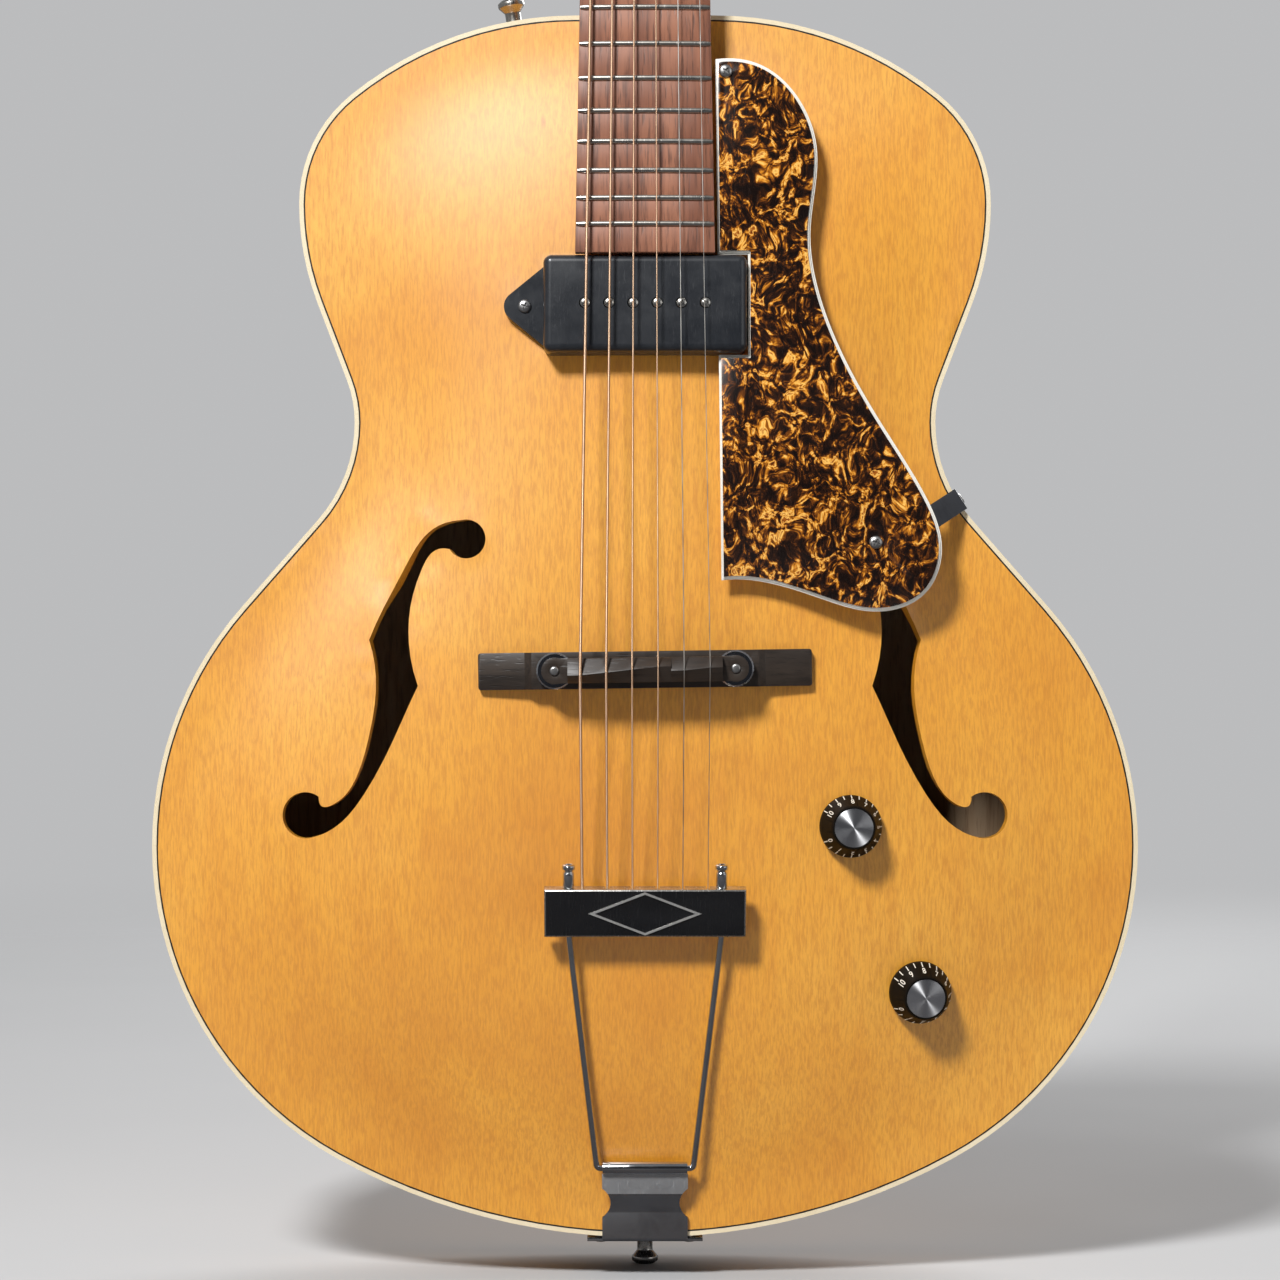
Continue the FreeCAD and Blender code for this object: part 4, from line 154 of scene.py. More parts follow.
soft_lamp("key_lamp", place=(-0.90, -1.96, 2.02), aim=(0, 0, 0.36), width=0.48, power=95)
soft_lamp("side_lamp", place=(2.2, -1.6, 0.9), aim=(0, 0, 0.4), width=1.6, power=7)
soft_lamp("back_lamp", place=(0.8, 2.4, 1.8), aim=(0, 0, 0.4), width=1.8, power=60)


class Nodes:
    """Short calls that add nodes to one tree; a value may be a number, a colour or another node's socket."""

    def __init__(self, tree):
        self.tree = tree

    def add(self, kind, values=None, **settings):
        node = self.tree.nodes.new(kind)
        for key, value in settings.items():
            setattr(node, key, value)
        for key, value in (values or {}).items():
            if isinstance(value, bpy.types.NodeSocket):
                self.tree.links.new(value, node.inputs[key])
            else:
                node.inputs[key].default_value = value
        return node

    def sum(self, operation, first, second=0.0, third=0.0):
        return self.add("ShaderNodeMath", {0: first, 1: second, 2: third}, operation=operation).outputs[0]

    def vector(self, operation, first, second):
        node = self.add("ShaderNodeVectorMath", {0: first, 1: second}, operation=operation)
        return node.outputs["Value" if operation in ("DOT_PRODUCT", "DISTANCE", "LENGTH") else "Vector"]

    def noise(self, vector, scale, detail=3.0, roughness=0.55, distortion=0.0):
        node = self.add("ShaderNodeTexNoise", {
            "Vector": vector, "Scale": scale, "Detail": detail, "Roughness": roughness,
            "Distortion": distortion})
        return node.outputs[0]

    def span(self, value, low, high, start=0.0, end=1.0):
        node = self.add("ShaderNodeMapRange", {0: value, 1: low, 2: high, 3: start, 4: end},
                        interpolation_type="SMOOTHSTEP")
        return node.outputs[0]

    def mix(self, share, first, second, blend="MIX"):
        node = self.add("ShaderNodeMix", {0: share, 6: first, 7: second}, data_type="RGBA", blend_type=blend)
        return node.outputs[2]

    def ramp(self, value, stops):
        node = self.add("ShaderNodeValToRGB", {0: value})
        bar = node.color_ramp
        while len(bar.elements) < len(stops):
            bar.elements.new(0.5)
        for element, (place, colour) in zip(bar.elements, stops):
            element.position = place
            element.color = colour
        return node.outputs[0]


def rgb(red, green, blue):
    return (red, green, blue, 1.0)


# The camera sees a pale room; mirrored rays find it dimmer, and nearly dark in front of the guitar
PALE_WALL, FILL_LIGHT = rgb(0.50, 0.503, 0.51), rgb(0.065, 0.0655, 0.067)
DIM_WALL, DARK_FRONT = rgb(0.22, 0.223, 0.23), rgb(0.018, 0.019, 0.023)
world = bpy.data.worlds.new("studio")
scene.world = world
world.use_nodes = True
room = Nodes(world.node_tree)
background = world.node_tree.nodes["Background"]
rays = room.add("ShaderNodeLightPath").outputs
seen = room.sum("MAXIMUM", rays["Is Camera Ray"], rays["Is Transmission Ray"])
sky_way = room.add("ShaderNodeTexCoord").outputs["Generated"]
facing_front = room.span(room.vector("DOT_PRODUCT", sky_way, (0, -1, 0)), 0.45, 0.90)
mirrored = room.mix(facing_front, DIM_WALL, DARK_FRONT)
filled = room.mix(rays["Is Glossy Ray"], FILL_LIGHT, mirrored)
world.node_tree.links.new(room.mix(seen, filled, PALE_WALL), background.inputs["Color"])
world.cycles.sampling_method = "NONE"


# Effects that several finishes share

NUMBER, PLACE = "NodeSocketFloat", "NodeSocketVector"


def effect(name, inputs, outputs):
    """An empty shader group with its named inputs and outputs."""
    tree = bpy.data.node_groups.new(name, "ShaderNodeTree")
    for title, kind, value in inputs:
        socket = tree.interface.new_socket(title, in_out="INPUT", socket_type=kind)
        if value is not None:
            socket.default_value = value
    for title in outputs:
        tree.interface.new_socket(title, in_out="OUTPUT", socket_type=NUMBER)
    made = Nodes(tree)
    return made, made.add("NodeGroupInput").outputs, made.add("NodeGroupOutput").inputs


def close(made, socket, target):
    made.tree.links.new(socket, target)


made, given, result = effect(
    "wood_fibre",
    [("Vector", PLACE, None), ("Fibre", NUMBER, 400.0), ("Stretch", NUMBER, 14.0), ("Cloud", NUMBER, 14.0)],
    ["Streak", "Pores", "Cloud"])
along = made.sum("DIVIDE", given["Fibre"], given["Stretch"])
fibre_size = made.add("ShaderNodeCombineXYZ", {0: given["Fibre"], 1: given["Fibre"], 2: along}).outputs[0]
fibre_place = made.vector("MULTIPLY", given["Vector"], fibre_size)
close(made, made.noise(fibre_place, 1.0, 5.0, 0.62, 0.3), result["Streak"])
close(made, made.span(made.noise(fibre_place, 2.6, 2.0, 0.5), 0.56, 0.74), result["Pores"])
close(made, made.noise(given["Vector"], given["Cloud"], 3.0, 0.5, 0.6), result["Cloud"])

made, given, result = effect(
    "handling", [("Vector", PLACE, None), ("Scale", NUMBER, 60.0)], ["Smudge", "Speckle", "Hairline"])
close(made, made.noise(given["Vector"], given["Scale"], 4.0, 0.6, 0.4), result["Smudge"])
close(made, made.noise(given["Vector"], made.sum("MULTIPLY", given["Scale"], 22.0), 2.0), result["Speckle"])
long_place = made.vector("MULTIPLY", given["Vector"], (14.0, 1.2, 1.0))
hair = made.noise(long_place, made.sum("MULTIPLY", given["Scale"], 3.0), 2.0, 0.5, 1.2)
close(made, made.span(hair, 0.62, 0.68), result["Hairline"])

made, given, result = effect(
    "edge_rub", [("Vector", PLACE, None), ("Width", NUMBER, 0.0008), ("Scale", NUMBER, 150.0)], ["Rub"])
eased = made.add("ShaderNodeBevel", {"Radius": given["Width"]}, samples=4).outputs[0]
turned_in = made.vector("DOT_PRODUCT", eased, made.add("ShaderNodeNewGeometry").outputs["Normal"])
patches = made.span(made.noise(given["Vector"], given["Scale"], 3.0, 0.6), 0.38, 0.62, 0.15, 1.0)
close(made, made.sum("MULTIPLY", made.span(turned_in, 0.99, 0.86), patches), result["Rub"])


class Finish(Nodes):
    """A material: its fixed values are set on the shader's sockets, and its pattern is in nodes before it."""

    def __init__(self, name, **fixed):
        self.material = bpy.data.materials.new(name)
        self.material.use_nodes = True
        super().__init__(self.material.node_tree)
        self.shader = self.tree.nodes["Principled BSDF"]
        for key, value in fixed.items():
            self.shader.inputs[key.replace("_", " ").title().replace("Ior", "IOR")].default_value = value
        self.spot = self.add("ShaderNodeTexCoord").outputs["Object"]

    def turned(self, turn=(0, 0, 0), scale=(1, 1, 1)):
        values = {"Vector": self.spot, "Rotation": turn, "Scale": scale}
        return self.add("ShaderNodeMapping", values).outputs[0]

    def shared(self, name, **values):
        return self.add("ShaderNodeGroup", values, node_tree=bpy.data.node_groups[name]).outputs

    def done(self, colour, roughness, height=None, depth=0.00005, strength=0.5):
        self.tree.links.new(colour, self.shader.inputs["Base Color"])
        self.tree.links.new(roughness, self.shader.inputs["Roughness"])
        if height is not None:
            bump = self.add("ShaderNodeBump", {"Height": height, "Distance": depth, "Strength": strength})
            self.tree.links.new(bump.outputs[0], self.shader.inputs["Normal"])
        return self.material


# Finishes

def lacquered_maple(name, light, middle, deep, fleck, coat, knot=None):
    """Amber lacquer over close vertical fibres, with soft clouds and a slow deepening from place to place."""
    skin = Finish(name, coat_weight=coat, coat_roughness=0.45, coat_ior=1.75)
    fine = skin.shared("wood_fibre", Vector=skin.spot, Fibre=1200.0, Stretch=8.0, Cloud=24.0)
    broad = skin.shared("wood_fibre", Vector=skin.spot, Fibre=190.0, Stretch=9.0, Cloud=7.0)
    tone = skin.ramp(broad["Cloud"], [(0.30, deep), (0.50, middle), (0.72, light)])
    tone = skin.mix(skin.span(fine["Cloud"], 0.35, 0.70, 0.0, 0.35), tone, middle)
    tone = skin.mix(skin.span(broad["Streak"], 0.40, 0.70, 0.0, 0.35), tone, deep)
    tone = skin.mix(skin.span(fine["Streak"], 0.36, 0.68, 0.0, 0.55), tone, fleck)
    tone = skin.mix(skin.sum("MULTIPLY", fine["Pores"], 0.16), tone, fleck)
    if knot is not None:
        flat = (1.0, 0.2, 0.45)
        middle_place = tuple(value * share for value, share in zip(knot, flat))
        near = skin.vector("DISTANCE", skin.vector("MULTIPLY", skin.spot, flat), middle_place)
        tone = skin.mix(skin.span(near, 0.0004, 0.0022, 0.8, 0.0), tone, rgb(0.16, 0.04, 0.012))
    touch = skin.shared("handling", Vector=skin.spot, Scale=24.0)
    rough = skin.sum("MULTIPLY_ADD", touch["Smudge"], 0.16, 0.30)
    height = skin.sum("MULTIPLY_ADD", touch["Speckle"], 0.3, skin.sum("MULTIPLY", fine["Pores"], -0.6))
    return skin.done(tone, rough, height, 0.00004, 0.35)


def plain_wood(name, light, dark, pore, fibre, stretch, turn=(0, 0, 0), coat=0.0, rough=0.5, streak=0.7):
    """Open or oiled wood with its streaks and pores along the grain."""
    skin = Finish(name, coat_weight=coat, coat_roughness=0.3)
    spot = skin.turned(turn)
    grain = skin.shared("wood_fibre", Vector=spot, Fibre=fibre, Stretch=stretch, Cloud=26.0)
    band = skin.shared("wood_fibre", Vector=spot, Fibre=fibre * 0.22, Stretch=stretch * 1.5, Cloud=9.0)
    tone = skin.mix(skin.span(band["Streak"], 0.36, 0.66), light, dark)
    tone = skin.mix(skin.span(grain["Streak"], 0.48, 0.70, 0.0, streak), tone, pore)
    tone = skin.mix(skin.span(grain["Cloud"], 0.40, 0.70, 0.0, 0.35), tone, dark)
    tone = skin.mix(skin.sum("MULTIPLY", grain["Pores"], 0.65), tone, pore)
    touch = skin.shared("handling", Vector=skin.spot, Scale=40.0)
    roughness = skin.sum("MULTIPLY_ADD", touch["Smudge"], 0.25, rough - 0.12)
    height = skin.sum("MULTIPLY_ADD", grain["Pores"], -1.0, skin.sum("MULTIPLY", grain["Streak"], 0.3))
    return skin.done(tone, roughness, height, 0.00008, 0.5)


def moulded(name, colour, worn, rough, coat=0.0, rub=0.0006, share=0.5, scale=70.0, shine=0.5):
    """Plastic, bone or paint: slight mottling, fine hairlines, and edges that handling has worn."""
    skin = Finish(name, coat_weight=coat, coat_roughness=0.12, specular_ior_level=shine)
    touch = skin.shared("handling", Vector=skin.spot, Scale=scale)
    edge = skin.shared("edge_rub", Vector=skin.spot, Width=rub)
    tone = skin.mix(skin.span(touch["Smudge"], 0.3, 0.75, 0.0, 0.35), colour, worn)
    tone = skin.mix(skin.sum("MULTIPLY", touch["Hairline"], 0.12), tone, worn)
    tone = skin.mix(skin.sum("MULTIPLY", edge["Rub"], share), tone, worn)
    hairs = skin.sum("MULTIPLY_ADD", touch["Hairline"], 0.15, rough - 0.08)
    roughness = skin.sum("MULTIPLY_ADD", touch["Smudge"], 0.22, hairs)
    return skin.done(tone, roughness, touch["Speckle"], 0.00002, 0.3)


def plated(name, colour, tarnish, rough, rub=0.0005, scale=90.0, brush=0.25):
    """Plated or bare metal: clouds of tarnish, hairlines and brighter rubbed edges."""
    skin = Finish(name, metallic=1.0)
    touch = skin.shared("handling", Vector=skin.spot, Scale=scale)
    edge = skin.shared("edge_rub", Vector=skin.spot, Width=rub)
    tone = skin.mix(skin.span(touch["Smudge"], 0.42, 0.80, 0.0, 0.7), colour, tarnish)
    bright = rgb(*[min(1.0, value * 1.5 + 0.08) for value in colour[:3]])
    tone = skin.mix(skin.sum("MULTIPLY", edge["Rub"], 0.6), tone, bright)
    hairs = skin.sum("MULTIPLY_ADD", touch["Hairline"], brush, rough - 0.10)
    roughness = skin.sum("MULTIPLY_ADD", touch["Smudge"], 0.24, hairs)
    return skin.done(tone, roughness, touch["Hairline"], 0.00001, 0.25)


def shell_pattern():
    """Tortoiseshell: curled amber flakes that fold over each other in dark brown."""
    skin = Finish("tortoiseshell", coat_weight=0.5, coat_roughness=0.06)
    bent = skin.noise(skin.turned(scale=(1.0, 1.0, 0.75)), 55.0, 2.0, 0.5, 0.0)
    bent_up = skin.noise(skin.spot, 70.0, 2.0)
    shift = skin.add("ShaderNodeCombineXYZ", {0: bent, 1: 0.0, 2: bent_up}).outputs[0]
    spot = skin.vector("ADD", skin.spot, skin.vector("MULTIPLY", shift, (0.016, 0.0, 0.016)))
    curl = skin.noise(spot, 105.0, 4.0, 0.62, 2.2)
    flake = skin.noise(skin.vector("MULTIPLY", spot, (1.0, 1.0, 0.6)), 230.0, 3.0, 0.6, 1.5)
    mixed = skin.sum("MULTIPLY_ADD", flake, 0.45, skin.sum("MULTIPLY", curl, 0.55))
    tone = skin.ramp(mixed, [
        (0.42, rgb(0.008, 0.004, 0.003)), (0.49, rgb(0.030, 0.010, 0.004)), (0.53, rgb(0.17, 0.048, 0.006)),
        (0.565, rgb(0.66, 0.24, 0.018)), (0.597, rgb(0.98, 0.58, 0.14)), (0.63, rgb(0.40, 0.11, 0.010)),
        (0.69, rgb(0.06, 0.018, 0.005))])
    touch = skin.shared("handling", Vector=skin.spot, Scale=45.0)
    hairs = skin.sum("MULTIPLY_ADD", touch["Hairline"], 0.10, 0.14)
    rough = skin.sum("MULTIPLY_ADD", touch["Smudge"], 0.14, hairs)
    return skin.done(tone, rough, mixed, 0.00002, 0.2)


def spun_metal():
    """The lathe-turned caps: fine rings round each cap's middle, read from a map of turn and radius."""
    skin = Finish("spun_aluminium", metallic=1.0, anisotropic=0.92)
    around = skin.add("ShaderNodeUVMap", uv_map="spun").outputs[0]
    rings = skin.noise(skin.vector("MULTIPLY", around, (2.0, 6.0, 0.0)), 55.0, 3.0, 0.7)
    touch = skin.shared("handling", Vector=skin.spot, Scale=120.0)
    tone = skin.mix(skin.span(rings, 0.3, 0.7), rgb(0.62, 0.625, 0.64), rgb(0.90, 0.905, 0.92))
    tangent = skin.add("ShaderNodeTangent", direction_type="UV_MAP", uv_map="spun").outputs[0]
    skin.tree.links.new(tangent, skin.shader.inputs["Tangent"])
    skin.shader.inputs["Anisotropic Rotation"].default_value = 0.25
    rough = skin.sum("MULTIPLY_ADD", touch["Smudge"], 0.10, skin.sum("MULTIPLY_ADD", rings, 0.08, 0.26))
    return skin.done(tone, rough, rings, 0.00002, 0.4)


def wound_wire(name, colour, groove, pitch):
    """A string with its winding: close turns read along the string, darker in the grooves."""
    skin = Finish(name, metallic=1.0)
    run = skin.add("ShaderNodeAttribute", attribute_name="run").outputs["Fac"]
    turns = skin.sum("SINE", skin.sum("MULTIPLY", run, TURN / pitch))
    touch = skin.shared("handling", Vector=skin.spot, Scale=50.0)
    tone = skin.mix(skin.span(turns, -1.0, 0.4), groove, colour)
    tone = skin.mix(skin.span(touch["Smudge"], 0.45, 0.75, 0.0, 0.5), tone, groove)
    return skin.done(tone, skin.sum("MULTIPLY_ADD", touch["Smudge"], 0.2, 0.34), turns, 0.00006, 0.6)


finishes = {
    "maple_top": lacquered_maple(
        "maple_top", rgb(0.88, 0.445, 0.045), rgb(0.82, 0.360, 0.018), rgb(0.70, 0.265, 0.008),
        rgb(0.52, 0.175, 0.004), 1.0, knot=(-0.0440, -0.0480, 0.4830)),
    "maple_body": lacquered_maple(
        "maple_body", rgb(0.80, 0.44, 0.11), rgb(0.72, 0.35, 0.065), rgb(0.60, 0.255, 0.035),
        rgb(0.46, 0.175, 0.02), 0.4),
    # The inside wood is pale: partly its own colour, partly painted light for the light that comes in through
    # the f-holes
    "inner_wood": plain_wood(
        "inner_wood", rgb(0.52, 0.36, 0.22), rgb(0.42, 0.27, 0.15), rgb(0.26, 0.15, 0.08), 380.0, 16.0,
        rough=0.75),
    "cream_binding": moulded(
        "cream_binding", rgb(0.80, 0.70, 0.50), rgb(0.66, 0.52, 0.30), 0.35, coat=0.4, share=0.25,
        scale=40.0),
    "black_line": moulded("black_line", rgb(0.012, 0.011, 0.010), rgb(0.035, 0.03, 0.025), 0.4),
    "neck_wood": plain_wood(
        "neck_wood", rgb(0.50, 0.255, 0.090), rgb(0.40, 0.175, 0.055), rgb(0.24, 0.095, 0.03), 420.0, 22.0,
        coat=0.3, rough=0.42, streak=0.5),
    "rosewood": plain_wood(
        "rosewood", rgb(0.33, 0.135, 0.075), rgb(0.20, 0.075, 0.042), rgb(0.055, 0.021, 0.014), 520.0, 30.0,
        rough=0.48, streak=0.75),
    "ebony": plain_wood(
        "ebony", rgb(0.040, 0.028, 0.020), rgb(0.022, 0.015, 0.011), rgb(0.010, 0.007, 0.005), 500.0, 18.0,
        turn=(0, math.radians(90), 0), rough=0.42),
    "fret_wire": plated("fret_wire", rgb(0.56, 0.54, 0.50), rgb(0.40, 0.36, 0.30), 0.28, rub=0.0003),
    "bone": moulded("bone", rgb(0.82, 0.76, 0.62), rgb(0.66, 0.55, 0.38), 0.4, share=0.3),
    "steel": plated("steel", rgb(0.50, 0.495, 0.485), rgb(0.26, 0.235, 0.21), 0.32),
    "black_plastic": moulded(
        "black_plastic", rgb(0.012, 0.014, 0.018), rgb(0.036, 0.039, 0.044), 0.30, coat=0.25, share=0.6),
    "bobbin_plastic": moulded("bobbin_plastic", rgb(0.03, 0.03, 0.03), rgb(0.07, 0.07, 0.07), 0.5),
    "coil_wire": moulded("coil_wire", rgb(0.30, 0.09, 0.03), rgb(0.45, 0.16, 0.06), 0.35, scale=300.0),
    "magnet": moulded("magnet", rgb(0.10, 0.10, 0.105), rgb(0.18, 0.18, 0.18), 0.55),
    "nickel": plated("nickel", rgb(0.60, 0.585, 0.55), rgb(0.38, 0.35, 0.30), 0.22),
    "tortoiseshell": shell_pattern(),
    "white_ply": moulded("white_ply", rgb(0.82, 0.80, 0.74), rgb(0.62, 0.57, 0.47), 0.4, share=0.3),
    "chrome": plated("chrome", rgb(0.58, 0.59, 0.61), rgb(0.38, 0.385, 0.40), 0.12, brush=0.06),
    "spun_aluminium": spun_metal(),
    "pot_metal": plated("pot_metal", rgb(0.42, 0.40, 0.36), rgb(0.24, 0.21, 0.17), 0.4),
    "lead_cover": moulded("lead_cover", rgb(0.05, 0.045, 0.04), rgb(0.12, 0.10, 0.08), 0.6),
    "bronze_wound": wound_wire("bronze_wound", rgb(0.92, 0.66, 0.46), rgb(0.46, 0.27, 0.15), 0.00045),
    "plain_steel": wound_wire("plain_steel", rgb(0.66, 0.64, 0.60), rgb(0.42, 0.39, 0.35), 0.02),
    "cream_button": moulded(
        "cream_button", rgb(0.72, 0.60, 0.40), rgb(0.55, 0.40, 0.22), 0.3, coat=0.35, share=0.3),
}
dial_white = moulded("dial_white", rgb(0.80, 0.78, 0.70), rgb(0.60, 0.56, 0.46), 0.5, share=0.2)
knob_plastic = moulded(
    "knob_plastic", rgb(0.006, 0.005, 0.004), rgb(0.014, 0.011, 0.008), 0.36, share=0.3, shine=0.03)
# The string bar's front is near-black: a painted dark reflection that stands in for the dark room mirrored in
# its plating
bar_painted_dark_reflection = moulded(
    "bar_painted_dark_reflection", rgb(0.006, 0.006, 0.007), rgb(0.014, 0.014, 0.015), 0.20, share=0.3, scale=30.0)
# Brushed chrome whose colour is painted lighter than the plain chrome's: partly a rougher finish, partly a
# painted sheen
brushed_chrome_painted_lighter = plated("brushed_chrome_painted_lighter", rgb(0.80, 0.81, 0.82), rgb(0.66, 0.665, 0.67), 0.58)
# The bracket's steel is painted dark: a painted dark reflection of the room in its plating
bracket_painted_dark_reflection = plated("bracket_painted_dark_reflection", rgb(0.16, 0.165, 0.18), rgb(0.10, 0.10, 0.11), 0.30)
# The diamond line: rough plating whose colour is painted lighter than the nickel's, a painted sheen for the
# light it catches
diamond_painted_sheen = plated("diamond_painted_sheen", rgb(0.80, 0.79, 0.76), rgb(0.60, 0.58, 0.54), 0.50)


# Shapes

def shown(name, mesh, finish, body, *replaced, slot=None):
    """A finished piece: it carries its finish, rides on its body and stands for its solids."""
    piece = linked(name, mesh)
    if finish is not None:
        mesh.materials.clear()
        mesh.materials.append(finish)
    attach(piece, body)
    if replaced:
        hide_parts(*replaced)
    return piece


def body_of(node):
    return solids[node]["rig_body"]


def joined(node):
    """A copy of a solid's mesh with its loose corners joined."""
    shape = bmesh.new()
    shape.from_mesh(solids[node].data)
    bmesh.ops.remove_doubles(shape, verts=shape.verts, dist=JOIN)
    return shape


def smooth(mesh, degrees=32):
    mesh.polygons.foreach_set("use_smooth", [True] * len(mesh.polygons))
    mesh.set_sharp_from_angle(angle=math.radians(degrees))


def dressed(node, finish=None, round_edge=0.0, degrees=32, least_turn=30):
    """A solid's own shape, evenly shaded, with a small bevel along its corners where round_edge is given."""
    shape = joined(node)
    bmesh.ops.dissolve_limit(shape, angle_limit=math.radians(0.4), verts=shape.verts, edges=shape.edges)
    if round_edge:
        corners = [edge for edge in shape.edges
                   if len(edge.link_faces) == 2 and edge.calc_face_angle(0) > math.radians(least_turn)]
        bmesh.ops.bevel(shape, geom=corners, offset=round_edge, offset_type="OFFSET", segments=2, profile=0.5,
                        affect="EDGES", clamp_overlap=True)
    bmesh.ops.triangulate(shape, faces=[face for face in shape.faces if len(face.verts) > 4])
    mesh = meshed(f"{node}_shown", shape)
    for attribute in list(mesh.attributes):
        if attribute.name.startswith("custom_normal"):
            mesh.attributes.remove(attribute)
    smooth(mesh, degrees)
    return shown(f"{node}_shown", mesh, finish or finishes[slot_of[node]], body_of(node), node)


def islands(node):
    """The corners of each separate solid of a node, one array each."""
    shape = joined(node)
    taken, found = set(), []
    for first in shape.verts:
        if first in taken:
            continue
        taken.add(first)
        stack, group = [first], []
        while stack:
            vert = stack.pop()
            group.append(vert.co[:])
            for edge in vert.link_edges:
                other = edge.other_vert(vert)
                if other not in taken:
                    taken.add(other)
                    stack.append(other)
        found.append(np.array(group))
    shape.free()
    return found


def realised(piece):
    """The mesh of an object with its modifiers worked in; the object is then removed."""
    bpy.context.view_layer.update()
    mesh = bpy.data.meshes.new_from_object(piece.evaluated_get(bpy.context.evaluated_depsgraph_get()))
    bpy.data.objects.remove(piece)
    return mesh


def lathe(profile, steps=32):
    """A closed shape turned about z from (radius, height) pairs that start and end on the axis."""
    shape = bmesh.new()
    rings = []
    for radius, height in profile:
        if radius == 0:
            rings.append([shape.verts.new((0, 0, height))])
        else:
            angles = [TURN * k / steps for k in range(steps)]
            rings.append([shape.verts.new((radius * math.cos(angle), radius * math.sin(angle), height))
                          for angle in angles])
    for low, high in zip(rings, rings[1:]):
        for k in range(steps):
            corners = [low[k % len(low)], low[(k + 1) % len(low)]]
            corners += [high[(k + 1) % len(high)], high[k % len(high)]]
            shape.faces.new(list(dict.fromkeys(corners)))
    bmesh.ops.recalc_face_normals(shape, faces=shape.faces)
    return shape


def tube(name, points, radius, sides=10):
    """A closed round tube along points, with its running length kept as the attribute run."""
    points = [Vector(point) for point in points]
    ways = [(b - a).normalized() for a, b in zip(points, points[1:])]
    ways = [ways[0]] + [(a + b).normalized() for a, b in zip(ways, ways[1:])] + [ways[-1]]
    side = ways[0].orthogonal().normalized()
    shape = bmesh.new()
    run_layer = shape.verts.layers.float.new("run")
    rings, run = [], 0.0
    for k, (point, way) in enumerate(zip(points, ways)):
        side = (side - way * side.dot(way)).normalized()
        other = way.cross(side)
        run += (point - points[k - 1]).length if k else 0.0
        ring = []
        for step in range(sides):
            angle = TURN * step / sides
            vert = shape.verts.new(point + (side * math.cos(angle) + other * math.sin(angle)) * radius)
            vert[run_layer] = run
            ring.append(vert)
        rings.append(ring)
    for low, high in zip(rings, rings[1:]):
        for k in range(sides):
            shape.faces.new((low[k], low[(k + 1) % sides], high[(k + 1) % sides], high[k]))
    shape.faces.new(list(reversed(rings[0])))
    shape.faces.new(rings[-1])
    bmesh.ops.recalc_face_normals(shape, faces=shape.faces)
    mesh = meshed(name, shape)
    smooth(mesh, 50)
    return mesh


def together(name, meshes):
    """One mesh from several."""
    shape = bmesh.new()
    for mesh in meshes:
        shape.from_mesh(mesh)
    return meshed(name, shape)


# Carved plates: the outline and openings of each solid, filled with an even net whose rise is smoothed

PLATE, LEAST_FACING, EDGE_STEPS, EDGE_ROOM, NET_GAP = 0.005, 0.45, 4, 0.55, 1e-7


